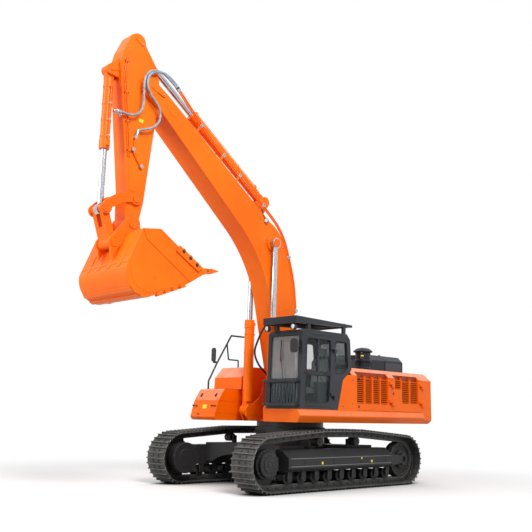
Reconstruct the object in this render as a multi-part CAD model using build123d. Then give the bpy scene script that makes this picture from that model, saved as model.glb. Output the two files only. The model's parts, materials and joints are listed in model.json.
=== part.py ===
"""Crawler excavator: undercarriage, slewing upper structure and digging front.

Millimetres. +X forward, +Y to the cab side, +Z up. The ground is Z = 0.
All values below are measured from the swing axis; the whole is moved by swing_x when it is written.
"""
import os
from math import acos, atan2, cos, degrees, hypot, pi, radians, sin

from build123d import *

# place of the swing axis in the shared frame
swing_x = -845.0

# tracks
gauge = 2740.0
shoe_width = 600.0
wheel_base = 4400.0
wheel_z = 560.0
shoe_thick = 20.0
grouser = 36.0
link_height = 115.0
shoe_pitch = 216.0
rail_offset = 75.0
rail_width = 50.0
carrier_x = 600.0
carrier_r = 90.0
carrier_z = 979.0
roller_r = 105.0
roller_count = 9
fit = 0.5

# lower frame and swing bearing
frame_low = 410.0
frame_edge = 670.0
frame_top = 830.0
frame_half = 200.0
frame_end = wheel_base / 2 - 500.0
ring_r = 780.0
ring_bore = 620.0
drum_r = 840.0
seat_z = 1130.0
tow_x = 960.0
tow_z = 600.0
tow_half = 35.0
tow_r = 45.0

# upper structure
deck_low = 1370.0
deck_top = 1640.0
side_y = 1500.0
ledge_y = 1560.0
ledge_z = 1500.0
rear_x = -3100.0
tail_x = -3560.0
tail_bulge = 190.0
roof_z = 2580.0
chamfer = 170.0
wall = 40.0
door_gap = 6.0
panel_front = -550.0
panel_mid = -1870.0
louvre_depth = 90.0
louvre_top = 2500.0
louvre_pitch = 44.0
tank_rear = -420.0

# cab
cab_right = 500.0
cab_wall = 60.0
cab_front = 1270.0
cab_roof = 3300.0
door_hinge_x = 225.0
window_r = 55.0

# boom, arm and bucket pins in the side view
foot_x = 300.0
foot_z = 2240.0
boom_length = 7103.0
boom_angle = 54.05
boom_half = 260.0
arm_length = 2920.0
arm_angle = -85.09
arm_half = 184.0
lug = 45.0
side_gap = 6.0
pin_r = 65.0
pin_fit = 0.3

# boom cylinders
cyl_y = 380.0
eye_half = 60.0
boom_cyl_base = (1010.0, 1600.0)
boom_cyl_eye = (2889.0, 1279.0)
boom_bore_r = 105.0
boom_rod_r = 62.0
boom_barrel_len = 2030.0
boom_stroke = 1437.0

# arm cylinder: base on the boom and eye on the arm, in their own frames
arm_cyl_base = (3751.0, 1794.0)
arm_cyl_eye = (-881.0, 382.0)
arm_bore_r = 115.0
arm_rod_r = 65.0
arm_barrel_len = 2640.0
arm_stroke = 1553.0

# bucket cylinder and its linkage, in the arm's frame
bucket_cyl_base = (-77.0, 855.0)
bucket_bore_r = 95.0
bucket_rod_r = 58.0
bucket_barrel_len = 1640.0
bucket_stroke = 840.0
rocker_pin = (arm_length - 522.0, -10.0)
rocker_end = (arm_length - 157.0, 616.0)
link_pin = (arm_length + 457.0, 347.0)

# bucket
bucket_half = 820.0
bucket_wall = 40.0
doubler = 12.0
tooth_count = 5


def turned(p, angle):
    a = radians(angle)
    return (p[0] * cos(a) - p[1] * sin(a), p[0] * sin(a) + p[1] * cos(a))


def placed(p, at, angle):
    q = turned(p, angle)
    return (q[0] + at[0], q[1] + at[1])


# pins in the side view at rest
FOOT = (foot_x, foot_z)
TIP = placed((boom_length, 0), FOOT, boom_angle)
BOOM_EYE = placed(boom_cyl_eye, FOOT, boom_angle)
ARM_BASE = placed(arm_cyl_base, FOOT, boom_angle)
ARM_EYE = placed(arm_cyl_eye, TIP, arm_angle)
BUCKET_PIN = placed((arm_length, 0), TIP, arm_angle)
BUCKET_BASE = placed(bucket_cyl_base, TIP, arm_angle)
ROCKER_PIN = placed(rocker_pin, TIP, arm_angle)
ROCKER_END = placed(rocker_end, TIP, arm_angle)
LINK_PIN = placed(link_pin, TIP, arm_angle)


def outline(points):
    return make_face(Polyline(*points, close=True))


def side(shape, y0, y1, at=(0, 0), angle=0.0):
    """A side-view shape as a body between y0 and y1."""
    a = radians(angle)
    plane = Plane((at[0], y1, at[1]), x_dir=(cos(a), 0, sin(a)), z_dir=(0, -1, 0))
    return extrude(plane * shape, y1 - y0)


def both_sides(shape, y0, y1, at=(0, 0), angle=0.0):
    return side(shape, y0, y1, at, angle) + side(shape, -y1, -y0, at, angle)


def along(shape, x0, x1):
    """A shape seen from the front, drawn in Y and Z, as a body from x0 to x1."""
    plane = Plane((x0, 0, 0), x_dir=(0, 1, 0), z_dir=(1, 0, 0))
    return extrude(plane * shape, x1 - x0)


def flat(shape, z0, z1):
    return extrude(Plane((0, 0, z0)) * shape, z1 - z0)


def box(x0, x1, y0, y1, z0, z1):
    return Pos((x0 + x1) / 2, (y0 + y1) / 2, (z0 + z1) / 2) * Box(x1 - x0, y1 - y0, z1 - z0)


def bar_x(y, z, r, x0, x1):
    return Pos((x0 + x1) / 2, y, z) * Rot(0, 90, 0) * Cylinder(r, x1 - x0)


def bar_y(p, r, y0, y1):
    return Pos(p[0], (y0 + y1) / 2, p[1]) * Rot(90, 0, 0) * Cylinder(r, y1 - y0)


def bar_z(x, y, r, z0, z1):
    return Pos(x, y, (z0 + z1) / 2) * Cylinder(r, z1 - z0)


def disc(p, r):
    return Pos(p[0], p[1]) * Circle(r)


def strap(p, rp, q, rq):
    """Two round ends joined by their outer tangents."""
    d = hypot(q[0] - p[0], q[1] - p[1])
    a = atan2(q[1] - p[1], q[0] - p[0])
    b = acos((rp - rq) / d)
    corners = []
    for c, r, t in ((p, rp, a + b), (q, rq, a + b), (q, rq, a - b), (p, rp, a - b)):
        corners.append((c[0] + r * cos(t), c[1] + r * sin(t)))
    return outline(corners) + disc(p, rp) + disc(q, rq)


def mirrored(body):
    return mirror(body, about=Plane.XZ)


def pair(body):
    return [body, mirrored(body)]


def belt(grow):
    """The closed path round the end wheels and over the carrier rollers, clockwise from the front low point.

    Each piece is (kind, values, length)."""
    base = wheel_z - grouser - shoe_thick + grow
    hump = carrier_r + link_height + grow
    half = wheel_base / 2
    wheels = [((half, wheel_z), base), ((carrier_x, carrier_z), hump),
              ((-carrier_x, carrier_z), hump), ((-half, wheel_z), base)]
    joins = []
    for i, (c, r) in enumerate(wheels):
        d, s = wheels[(i + 1) % 4]
        gap = hypot(d[0] - c[0], d[1] - c[1])
        n = atan2(d[1] - c[1], d[0] - c[0]) - acos((r - s) / gap)
        joins.append(((c[0] + r * cos(n), c[1] + r * sin(n)), (d[0] + s * cos(n), d[1] + s * sin(n)), n))
    pieces = []
    for i, (c, r) in enumerate(wheels):
        start, end, n = joins[i]
        before = joins[i - 1][2]
        sweep = (n - before) % (2 * pi)
        pieces.append(("arc", (c, r, before, sweep), r * sweep))
        pieces.append(("line", (start, end, n), hypot(end[0] - start[0], end[1] - start[1])))
    return pieces


def belt_face(grow):
    """The path as straight links; on each wheel their middles touch the wheel's circle."""
    corners = []
    for kind, v, size in belt(grow):
        if kind == "arc":
            c, r, a, sweep = v
            count = max(2, round(sweep / 0.24))
            step = sweep / count
            for k in range(count):
                t = a + step * (k + 0.5)
                corners.append((c[0] + r / cos(step / 2) * cos(t), c[1] + r / cos(step / 2) * sin(t)))
    return outline(corners)


def belt_point(pieces, s, out):
    """The point at length s along the path, moved outward."""
    s = s % sum(p[2] for p in pieces)
    for kind, v, size in pieces:
        if s <= size:
            break
        s -= size
    if kind == "line":
        (x0, z0), (x1, z1), n = v
        k = s / size
        return (x0 + (x1 - x0) * k + out * cos(n), z0 + (z1 - z0) * k + out * sin(n))
    c, r, a, sweep = v
    t = a + s / r
    return (c[0] + (r + out) * cos(t), c[1] + (r + out) * sin(t))


def build_track():
    """One loop: shoes with two grousers each on a pair of link rails."""
    pieces = belt(0)
    length = sum(p[2] for p in pieces)
    count = round(length / shoe_pitch)
    pitch = length / count
    high = shoe_thick + grouser
    profile = [(0.02, shoe_thick), (0.05, high), (0.13, high), (0.20, shoe_thick),
               (0.50, shoe_thick), (0.54, high), (0.61, high), (0.67, shoe_thick), (0.97, shoe_thick)]
    points = []
    for i in range(count):
        for t, out in profile:
            points.append(belt_point(pieces, (i + t) * pitch, out))
    half = shoe_width / 2
    shoes = side(outline(points) - belt_face(0), -half, half)
    band = belt_face(0) - belt_face(-link_height)
    low = rail_offset - rail_width / 2
    return shoes + both_sides(band, low, low + rail_width)


def build_sprocket():
    """Sprocket with its final drive; the drum stands out on the outer side."""
    half = rail_offset - rail_width / 2 - 4
    teeth = 13
    ring = Circle(395)
    for i in range(teeth):
        a = 360 * i / teeth
        ring += Rot(0, 0, a) * outline([(380, -55), (440, -22), (440, 22), (380, 55)])
    solid = side(ring, -half, half)
    solid += bar_y((0, 0), 290, half, 150) + bar_y((0, 0), 240, 150, 215) + bar_y((0, 0), 150, 215, 235)
    solid += bar_y((0, 0), 300, -120, -half) + bar_y((0, 0), 243, -300, -120)
    return solid


def build_idler():
    inner = rail_offset - rail_width / 2 - 4
    outer = rail_offset + rail_width / 2
    tread = wheel_z - grouser - shoe_thick - link_height - fit
    solid = bar_y((0, 0), tread, -outer, outer) + bar_y((0, 0), tread + 22, -inner, inner)
    for s in (-1, 1):
        rim = bar_y((0, 0), tread - 55, s * outer - 25, s * outer + 25)
        solid -= rim
        solid += bar_y((0, 0), 190, s * (outer + 10) - 20, s * (outer + 10) + 20)
    return solid + bar_y((0, 0), 70, -160, 160)


def build_bottom_rollers(y):
    z = grouser + shoe_thick + link_height + roller_r + fit
    outer = rail_offset + rail_width / 2
    one = bar_y((0, z), roller_r, -outer, outer) + bar_y((0, z), 45, -175, 175)
    for s in (-1, 1):
        one += bar_y((0, z), roller_r + 18, s * (outer + 10) - 8, s * (outer + 10) + 8)
        one += box(-60, 60, s * 160 - 20, s * 160 + 20, z - 50, frame_low)
    span = frame_end - 110
    step = 2 * span / (roller_count - 1)
    return [Pos(-span + step * i, y, 0) * one for i in range(roller_count)]


def build_carrier_rollers(y):
    """Two carrier rollers on their brackets; the bracket stands on the inner side of the track frame."""
    outer = rail_offset + rail_width / 2
    one = bar_y((0, carrier_z), carrier_r - fit, -outer, outer) + bar_y((0, carrier_z), 40, -185, outer + 12)
    one += box(-50, 50, -185, -125, frame_top, carrier_z + 45)
    turn = 1 if y > 0 else -1
    found = []
    for x in (-carrier_x, carrier_x):
        found.append(Pos(x, y, 0) * (one if turn > 0 else mirrored(one)))
    return found


def build_track_frame():
    """Long box with a sloped roof, an idler yoke at the rear and the final drive's plate in front."""
    section = [(-frame_half, frame_low), (frame_half, frame_low), (frame_half + 50, frame_low + 60),
               (frame_half + 50, frame_edge), (40, frame_top), (-frame_half, frame_top)]
    solid = along(outline(section), -frame_end, frame_end)
    yoke = outline([(-frame_end - 400, 480), (-frame_end, 430), (-frame_end, 690), (-frame_end - 400, 650)])
    yoke += disc((-wheel_base / 2, wheel_z), 120)
    hole = disc((-wheel_base / 2, wheel_z), 70 + fit)
    solid += side(yoke - hole, 160, 200) + side(yoke - hole, -200, -160)
    plate = outline([(frame_end, frame_low), (frame_end + 400, 330), (frame_end + 400, 790),
                     (frame_end, frame_top)])
    plate += disc((wheel_base / 2, wheel_z), 310)
    drive = disc((wheel_base / 2, wheel_z), 243 + fit)
    solid += side(plate - drive, -frame_half, -130)
    return solid


def build_motor_guard():
    """Round cover over the travel motor, bolted to the inner face of the final drive's plate."""
    hub = (wheel_base / 2, wheel_z)
    guard = bar_y(hub, 325, -390, -frame_half) - bar_y(hub, 262, -374, -frame_half)
    return guard + bar_y(hub, 190, -405, -389)


def build_lower_frame():
    """Bearing seat on a centre drum with tow eyes, and four arched legs to the track frames."""
    reach = gauge / 2 - frame_half
    box_low = 470.0
    drum = bar_z(0, 0, drum_r, box_low, 900) + bar_z(0, 0, ring_r, 900, seat_z)
    drum -= bar_z(0, 0, 240, box_low, seat_z)
    for s in (-1, 1):
        eye = strap((s * tow_x, 0), 2.4 * tow_r, (s * 650, 0), 200) - disc((s * tow_x, 0), tow_r)
        drum += flat(eye - Circle(drum_r - 140), tow_z - tow_half, tow_z + tow_half)
    leg = outline([(120, 300), (drum_r, 60), (1500, reach), (780, reach)])
    front = flat(leg, box_low, 880) - side(disc((1150, 330), 300), -gauge, gauge) - drum
    rear = mirror(front, about=Plane.YZ)
    return drum, [front, mirrored(front), rear, mirrored(rear)]


def build_main_frame():
    """Bottom plate, two long webs with the boom foot lugs, cylinder lugs and the boom foot pin."""
    y0 = boom_half + side_gap
    y1 = y0 + lug
    eye0 = cyl_y - eye_half - side_gap
    eye1 = cyl_y + eye_half + side_gap
    base = boom_cyl_base
    solid = box(rear_x, 700, -350 + fit, 350 - fit, deck_low, deck_low + 40)
    web = outline([(rear_x, deck_low), (1010, deck_low), (1120, 1480), (1120, 1600), (700, 1900),
                   (560, 2280), (60, 2280), (-700, 1800), (rear_x, 1700)])
    web += disc(FOOT, 230) + disc(base, 125)
    solid += both_sides(web, y0, min(y1, eye0))
    outer = strap(base, 120, (860, 1500), 120) + outline([(560, deck_low), (1010, deck_low), (1090, 1500),
                                                          (760, 1600)])
    solid += both_sides(outer, eye1, eye1 + lug)
    solid += both_sides(outline([(560, deck_low), (800, deck_low), (800, 1440), (560, 1440)]), eye0, eye1)
    solid += bar_y(FOOT, pin_r + 15, -y0 - 1, y0 + 1)
    solid += both_sides(disc(base, pin_r), eye0 - 1, eye1 + 1)
    return solid


def build_deck(front):
    """Side deck with the slanted ledge, seen from the front as one profile."""
    section = [(350, deck_low), (1480, deck_low), (ledge_y, ledge_z), (ledge_y, ledge_z + 20),
               (side_y, 1622), (side_y, deck_top), (350, deck_top)]
    solid = along(outline(section), rear_x, front)
    return solid - box(540, front + 1, 340, cab_right - 5, deck_low - 1, deck_top + 1)


def build_counterweight():
    cut = 0.53 * chamfer
    back = ThreePointArc((tail_x, side_y - cut), (tail_x - tail_bulge, 0), (tail_x, -side_y + cut))
    edges = [back, Line((tail_x, -side_y + cut), (tail_x + cut, -side_y)),
             Line((tail_x + cut, -side_y), (rear_x, -side_y)), Line((rear_x, -side_y), (rear_x, side_y)),
             Line((rear_x, side_y), (tail_x + cut, side_y)), Line((tail_x + cut, side_y), (tail_x, side_y - cut))]
    solid = flat(make_face(edges), deck_low, roof_z)
    top = [e for e in solid.faces().sort_by(Axis.Z)[-1].edges() if e.center().X < rear_x - 5]
    solid = solid.chamfer(chamfer, None, top)
    low = [e for e in solid.faces().sort_by(Axis.Z)[0].edges() if e.center().X < rear_x - 5]
    return solid.chamfer(80, None, low)


def build_top_deck():
    """Roof of the machine house with its chamfered edges, door posts, the fire wall and the hood's opening."""
    edge = side_y - chamfer
    low = roof_z - chamfer
    half = [(edge - 60, roof_z - wall), (edge - 17, roof_z - wall), (side_y - wall, low), (side_y, low),
            (edge, roof_z), (edge - 60, roof_z)]
    solid = along(outline(half), rear_x, panel_front + 150)
    solid += mirrored(along(outline(half), rear_x, tank_rear))
    solid += box(rear_x, tank_rear, -edge + 50, edge - 50, roof_z - wall, roof_z)
    solid -= box(-3040, -1800, -900, 900, roof_z - 100, roof_z + 10)
    solid += box(tank_rear - 40, tank_rear, -side_y + 60, -360, deck_top, roof_z - wall + 5)
    solid += box(tank_rear - 40, tank_rear, -360, cab_right, 2050, roof_z - wall + 5)
    for a, b, z0, z1 in FRONT_FIELDS + REAR_FIELDS:
        solid -= box(a - 15, b + 20, side_y - louvre_depth - 14, side_y + 1, low - 50, z1)
    for x in (panel_front - 20, panel_mid - 20, rear_x):
        solid += box(x, x + 40, side_y - 60, side_y, deck_top, low)
        solid += along(outline(half), x, x + 40)
    solid += mirrored(box(rear_x, rear_x + 40, side_y - 60, side_y, deck_top, low))
    return solid


FRONT_FIELDS = [(-1720, -580, 1800, louvre_top)]
REAR_FIELDS = [(-2930, -2262, 1840, louvre_top - 12), (-2238, -1990, 2170, louvre_top - 12)]


def build_side_door(x0, x1, fields=(), columns=()):
    """Flat door; each louvre field is a pocket with a back plate, slats and upright posts."""
    top = roof_z - chamfer - door_gap
    solid = box(x0 + door_gap, x1 - door_gap, side_y - wall, side_y, deck_top + door_gap, top)
    back = side_y - louvre_depth
    for a, b, z0, z1 in fields:
        solid -= box(a, b, side_y - wall - 1, side_y + 1, z0, z1)
        solid += box(a - 6, b + 6, back - 8, back, z0 - 6, z1 - door_gap)
        solid += box(a - 6, a, back - 8, side_y - wall + 5, z0 - 6, z1 - door_gap)
        solid += box(b, b + 6, back - 8, side_y - wall + 5, z0 - 6, z1 - door_gap)
        solid += box(a - 6, b + 6, back - 8, side_y - wall + 5, z0 - 6, z0)
        for i in range(int((z1 - z0 - 60) / louvre_pitch)):
            z = z0 + 12 + louvre_pitch * i
            slat = [(back - 1, z + 40), (side_y - 32, z), (side_y - 32, z + 8), (back - 1, z + 48)]
            if z < top - 40:
                solid += along(outline(slat), a - 1, b + 1)
    for x, z0, z1 in columns:
        solid += box(x - 18, x + 18, back - 1, side_y - 8, z0 - 5, min(z1, top))
        solid += box(x - 18, x + 18, back - 1, back + 12, top - 5, z1 - door_gap)
    slope = outline([(side_y - 6, top - 6), (side_y + 50, top - 6), (side_y + 50, roof_z),
                     (side_y - 6 - (roof_z - top + 6), roof_z)])
    return solid - along(slope, x0 - 1, x1 + 1) if fields else solid


def hinge_parts(x, spans, reach):
    """Upright hinge outside the side wall: pins with feet behind the axis, knuckles with leaves before it."""
    r = 12.0
    y = side_y + 28
    pins = None
    knuckles = None
    for z0, z1 in spans:
        mid = (z0 + z1) / 2
        pin = bar_z(x, y, r, z0, z1) + bar_z(x, y, r + 9, z0, mid - 2)
        pin += box(x - 60, x, y - r - 9, y + r + 9, z0, mid - 2) + box(x - 60, x - 25, side_y, y, z0, mid - 2)
        knuckle = bar_z(x, y, r + 9, mid, z1) + box(x, x + reach, y - r - 9, y + r + 9, mid, z1)
        knuckle += box(x + reach - 45, x + reach, side_y, y, mid, z1)
        knuckle -= bar_z(x, y, r + pin_fit, mid - 5, z1 + 5)
        pins = pin if pins is None else pins + pin
        knuckles = knuckle if knuckles is None else knuckles + knuckle
    return pins, knuckles


def up(k):
    """A height in the cab, as a share of the way from its floor to its roof."""
    return deck_top + k * (cab_roof - deck_top)


CAB = [(cab_front, deck_top), (cab_front - 50, cab_roof - 60), (cab_front - 130, cab_roof), (-220, cab_roof),
       (-330, cab_roof - 120), (-380, up(0.53)), (-90, up(0.39)), (80, deck_top)]
DOOR = [(1190, up(0.036)), (1150, up(0.934)), (250, up(0.934)), (250, up(0.416)), (310, up(0.036))]
DOOR_UPPER = [(1095, up(0.476)), (1078, up(0.892)), (320, up(0.892)), (320, up(0.476))]
DOOR_LOWER = [(1112, up(0.09)), (1100, up(0.428)), (325, up(0.428)), (375, up(0.09))]
QUARTER = [(170, up(0.47)), (170, up(0.892)), (-210, up(0.892)), (-270, up(0.555)), (-100, up(0.47))]


def grown(points, by):
    return offset(outline(points), by, kind=Kind.INTERSECTION)


def pane(points):
    """A window's outline with rounded corners."""
    shape = outline(points)
    return fillet(shape.vertices(), window_r)


def front_pane(x0, x1, edge, low, high):
    """A rounded cut through a front or rear wall."""
    y = (cab_right + side_y) / 2
    shape = Pos(y, (low + high) / 2) * RectangleRounded(side_y - cab_right - 2 * edge, high - low, window_r)
    return along(shape, x0, x1)


def build_cab():
    """Hollow cab with its window and door openings, and the panes that sit in them."""
    shape = outline(CAB)
    shape = fillet([v for v in shape.vertices() if v.Y > up(0.9)], 45)
    solid = side(shape, cab_right, side_y) - side(grown(CAB, -cab_wall), cab_right + cab_wall, side_y - cab_wall)
    front_low = front_pane(cab_front - 200, cab_front + 50, 90, up(0.072), up(0.325))
    front = front_pane(cab_front - 200, cab_front + 50, 90, up(0.373), up(0.922))
    rear = front_pane(-420, -230, 120, up(0.602), up(0.892))
    roof = box(350, 950, cab_right + 200, side_y - 200, cab_roof - 100, cab_roof + 10)
    upper = pane(DOOR_UPPER)
    lower = pane(DOOR_LOWER)
    quarter = pane(QUARTER)
    right = side(upper, cab_right - 10, cab_right + cab_wall + 10)
    right += side(quarter, cab_right - 10, cab_right + cab_wall + 10)
    left = side(quarter, side_y - cab_wall - 10, side_y + 10)
    solid -= front_low + front + rear + roof + right + left
    solid -= side(grown(DOOR, door_gap), side_y - cab_wall - 10, side_y + 10)
    skin = side(grown(CAB, -24) - grown(CAB, -32), cab_right + 1, side_y - 1)
    panes = []
    for cut in (front_low, front, rear, roof):
        panes += (skin & cut).solids()
    panes += [side(quarter, side_y - 36, side_y - 28), side(quarter, cab_right + 28, cab_right + 36),
              side(upper, cab_right + 28, cab_right + 36)]
    pins, knuckles = hinge_parts(door_hinge_x, [(up(0.13), up(0.22)), (up(0.73), up(0.82))], 130)
    solid += pins
    bar = outline([(690, up(0.46)), (735, up(0.46)), (735, up(0.91)), (690, up(0.91))])
    frame = outline(DOOR) - upper - lower + bar
    door = side(frame, side_y - cab_wall + 5, side_y)
    door += knuckles
    door_glass = side(upper - bar, side_y - 36, side_y - 28).solids() + [side(lower, side_y - 36, side_y - 28)]
    return solid, panes, door, door_glass


def build_roof_guard():
    """Wedge-shaped bar guard on four feet over the cab roof, deep in front and thin at the rear."""
    x0, x1 = -420.0, 1410.0
    y0, y1 = cab_right + 10, side_y - 10
    low = cab_roof + 105
    wedge = outline([(x0, low + 60), (x1, low), (x1, low + 150), (x0, low + 110)])
    inner = box(x0 + 60, x1 - 60, y0 + 60, y1 - 60, low - 60, low + 300)
    solid = side(wedge, y0, y1) - inner
    count = 16
    step = (x1 - x0 - 120) / count
    for i in range(1, count):
        x = x0 + 60 + step * i
        z = low + 60 - 60 * (x - x0) / (x1 - x0)
        bar = outline([(x - 30, z + 30), (x + 30, z + 70), (x + 30, z + 82), (x - 30, z + 42)])
        solid += side(bar, y0 + 55, y1 - 55)
    for y in ((2 * y0 + y1) / 3, (y0 + 2 * y1) / 3):
        solid += side(outline([(x0 + 55, low + 86), (x1 - 55, low + 50), (x1 - 55, low + 85), (x0 + 55, low + 101)]),
                      y - 15, y + 15)
    for x in (-150, 1000):
        for y in (y0 + 30, y1 - 30):
            solid += box(x - 40, x + 40, y - 30, y + 30, cab_roof, low + 70)
    return solid


def build_front_guard():
    """Upright bars before the lower front pane, on two cross rails."""
    y0, y1 = cab_right + 40, side_y - 60
    x = cab_front + 130
    solid = None
    for z in (up(0.036), up(0.331)):
        rail = box(x - 25, x + 25, y0, y1, z, z + 50)
        solid = rail if solid is None else solid + rail
    count = 11
    for i in range(count):
        y = y0 + 20 + (y1 - y0 - 40) * i / (count - 1)
        solid += box(x - 10, x + 10, y - 10, y + 10, up(0.036), up(0.331) + 50)
    for y in (y0 + 25, y1 - 25):
        solid += box(cab_front - 1, x, y - 25, y + 25, up(0.036) + 5, up(0.036) + 45)
        solid += box(cab_front - 19, x, y - 25, y + 25, up(0.331) + 5, up(0.331) + 45)
    return solid - side(outline(CAB), cab_right - 1, side_y + 1)


def build_chair():
    x, y = 330.0, 1000.0
    floor = deck_top + cab_wall
    cushion, top = up(0.283), up(0.675)
    solid = box(x - 200, x + 200, y - 200, y + 200, floor, cushion - 130)
    solid += box(x - 260, x + 270, y - 260, y + 260, cushion - 130, cushion)
    back = outline([(x - 260, cushion), (x - 130, cushion), (x - 230, top), (x - 330, top)])
    solid += side(back, y - 240, y + 240)
    rest = up(0.693)
    head = outline([(x - 325, rest), (x - 225, rest), (x - 245, rest + 190), (x - 340, rest + 190)])
    return solid + side(head, y - 140, y + 140) + box(x - 300, x - 260, y - 90, y + 90, top - 5, rest + 5)


def build_console():
    """Arm rests with levers, and the pedals' stand."""
    floor = deck_top + cab_wall
    rest = up(0.35)
    solid = None
    for s in (-1, 1):
        y = 1000 + s * 340
        stand = box(180, 620, y - 60, y + 60, floor, rest) + bar_z(560, y, 16, rest, rest + 180)
        stand += bar_z(560, y, 32, rest + 180, rest + 280)
        solid = stand if solid is None else solid + stand
    solid += box(960, 1080, 760, 1240, floor, floor + 90)
    for y in (880, 1120):
        solid += bar_z(1020, y, 18, floor + 90, floor + 450)
    return solid


def build_tool_box():
    """Front box with a rounded brow; grooves mark the lid."""
    brow = FilletPolyline((795, deck_low), (1660, deck_low), (1720, deck_low + 70), (1610, 1800), (1440, 2060),
                          (795, 2060), radius=45)
    shape = make_face([brow, Line((795, 2060), (795, deck_low))])
    solid = side(shape, -side_y, -660)
    inside = offset(shape, -7, kind=Kind.INTERSECTION)
    for z in (1520, 1790):
        ring = box(700, 1800, -side_y - 5, -650, z - 5, z + 5) - side(inside, -side_y + 7, -667)
        solid -= ring
    return solid


def build_tanks():
    fuel = [(tank_rear, deck_top), (795, deck_top), (795, 2066), (1030, 2066), (1015, 2340), (780, roof_z),
            (tank_rear, roof_z)]
    solid = side(outline(fuel), -side_y, -560)
    return solid + bar_z(330, -1050, 90, roof_z, roof_z + 60)


def build_stack():
    """Air cleaner's intake: foot, waist, drum, band and domed cap, turned about its own axis."""
    z = roof_z
    rise = [(0, z), (185, z), (185, z + 60), (165, z + 75), (165, z + 180), (205, z + 195), (205, z + 235),
            (178, z + 250), (178, z + 400), (172, z + 412)]
    cap = [(225, z + 420), (225, z + 445), (150, z + 505), (60, z + 525), (0, z + 530)]
    shape = Plane.XZ * outline(rise + cap)
    return Pos(-1350, 1050, 0) * revolve(shape, Axis.Z)


def build_hood():
    x0, x1 = -3060.0, -1760.0
    y1 = 950.0
    z0, z1 = roof_z + door_gap, 2990.0
    section = [(-y1, z0), (y1, z0), (y1, z1 - 130), (y1 - 130, z1), (-y1 + 130, z1), (-y1, z1 - 130)]
    inner = [(-y1 + wall, z0 - 1), (y1 - wall, z0 - 1), (y1 - wall, z1 - 145), (y1 - 145, z1 - wall),
             (-y1 + 145, z1 - wall), (-y1 + wall, z1 - 145)]
    solid = along(outline(section), x0, x1) - along(outline(inner), x0 + wall, x1 - wall)
    at = (x0 - 20, z0 + 24)
    pins = None
    for y in (-600, 600):
        knuckle = bar_y(at, 24, y, y + 60) + box(at[0], x0 + 5, y, y + 60, z0 + 1, z0 + 47)
        solid += knuckle - bar_y(at, 14 + pin_fit, y - 5, y + 65)
        pin = bar_y(at, 14, y - 70, y + 62) + box(at[0] - 24, at[0] + 14, y - 68, y - 6, roof_z, at[1])
        pins = pin if pins is None else pins + pin
    return solid, pins, at


def build_engine():
    solid = box(-2950, -2050, -850, 700, 1830, 2430)
    for y in (-650, 550):
        solid += box(-2900, -2750, y - 90, y + 90, deck_top, 1840) + box(-2250, -2100, y - 90, y + 90, deck_top, 1840)
    return solid


def boom_outline():
    end = boom_length
    top = [Line((-60, 190), (1000, 890)), ThreePointArc((1000, 890), (1850, 1370), (2760, 1650)),
           ThreePointArc((2760, 1650), (3040, 1640), (3330, 1520)), Line((3330, 1520), (end - 303, 330))]
    tip = [Line((end - 303, 330), (end, 200)), Line((end, 200), (end, -200)), Line((end, -200), (end - 403, -60))]
    low = [Line((end - 403, -60), (3620, 660)), ThreePointArc((3620, 660), (2700, 715), (1800, 490)),
           Line((1800, 490), (150, -190)), Line((150, -190), (-60, 190))]
    return make_face(top + tip + low)


def build_boom():
    solid = side(boom_outline(), -boom_half, boom_half, FOOT, boom_angle)
    solid += bar_y(FOOT, 215, -boom_half, boom_half)
    solid -= bar_y(FOOT, pin_r + 15 + pin_fit, -boom_half - 1, boom_half + 1)
    solid += bar_y(TIP, 215, -boom_half, boom_half)
    fork = outline([(boom_length - 623, -700), (boom_length + 500, -700), (boom_length + 500, 700),
                    (boom_length - 623, 700)])
    inside = arm_half + side_gap
    solid -= side(fork, -inside, inside, FOOT, boom_angle)
    solid += bar_y(TIP, pin_r + 15, -inside - 1, inside + 1)
    solid += both_sides(disc(BOOM_EYE, 165), boom_half, cyl_y - eye_half - side_gap)
    solid += both_sides(disc(BOOM_EYE, 235), boom_half - 1, boom_half + 6)
    ears = strap(arm_cyl_base, 120, (3700, 1420), 190)
    solid += both_sides(ears, eye_half + side_gap, eye_half + side_gap + 60, FOOT, boom_angle)
    solid += side(disc(arm_cyl_base, pin_r), -eye_half - side_gap - 1, eye_half + side_gap + 1, FOOT, boom_angle)
    return solid


def arm_outline():
    points = [(-1000, 300), (-1040, 450), (-960, 560), (-560, 700), (-250, 740), (100, 660),
              (arm_length - 670, 215), (arm_length - 60, 150), (arm_length - 60, -150), (arm_length - 500, -205),
              (500, -255), (150, -250), (-250, -215), (-470, -140), (-800, 160)]
    return outline(points)


def build_arm():
    solid = side(arm_outline(), -arm_half, arm_half, TIP, arm_angle)
    solid += bar_y(TIP, 235, -arm_half, arm_half)
    solid -= bar_y(TIP, pin_r + 15 + pin_fit, -arm_half - 1, arm_half + 1)
    solid += bar_y(BUCKET_PIN, 160, -arm_half, arm_half)
    inside = eye_half + 10 + side_gap
    slot = outline([(-1300, 545), (-560, 545), (-360, 420), (-360, 120), (-420, -300), (-1300, -300)])
    solid -= side(slot, -inside, inside, TIP, arm_angle)
    solid += both_sides(disc(arm_cyl_eye, 165), inside, arm_half, TIP, arm_angle)
    lugs = strap(bucket_cyl_base, 110, (-110, 560), 140) + strap(bucket_cyl_base, 110, (-330, 600), 120)
    y0 = eye_half + side_gap
    solid += both_sides(lugs, y0, y0 + 50, TIP, arm_angle)
    solid -= side(disc(bucket_cyl_base, 215), -y0, y0, TIP, arm_angle)
    solid += bar_y(BUCKET_BASE, pin_r - 5, -y0 - 1, y0 + 1)
    solid += bar_y(BUCKET_PIN, pin_r + 10, -arm_half - side_gap - 66, arm_half + side_gap + 66)
    solid += bar_y(ROCKER_PIN, pin_r, -arm_half - side_gap - 56, arm_half + side_gap + 56)
    return solid


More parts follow.
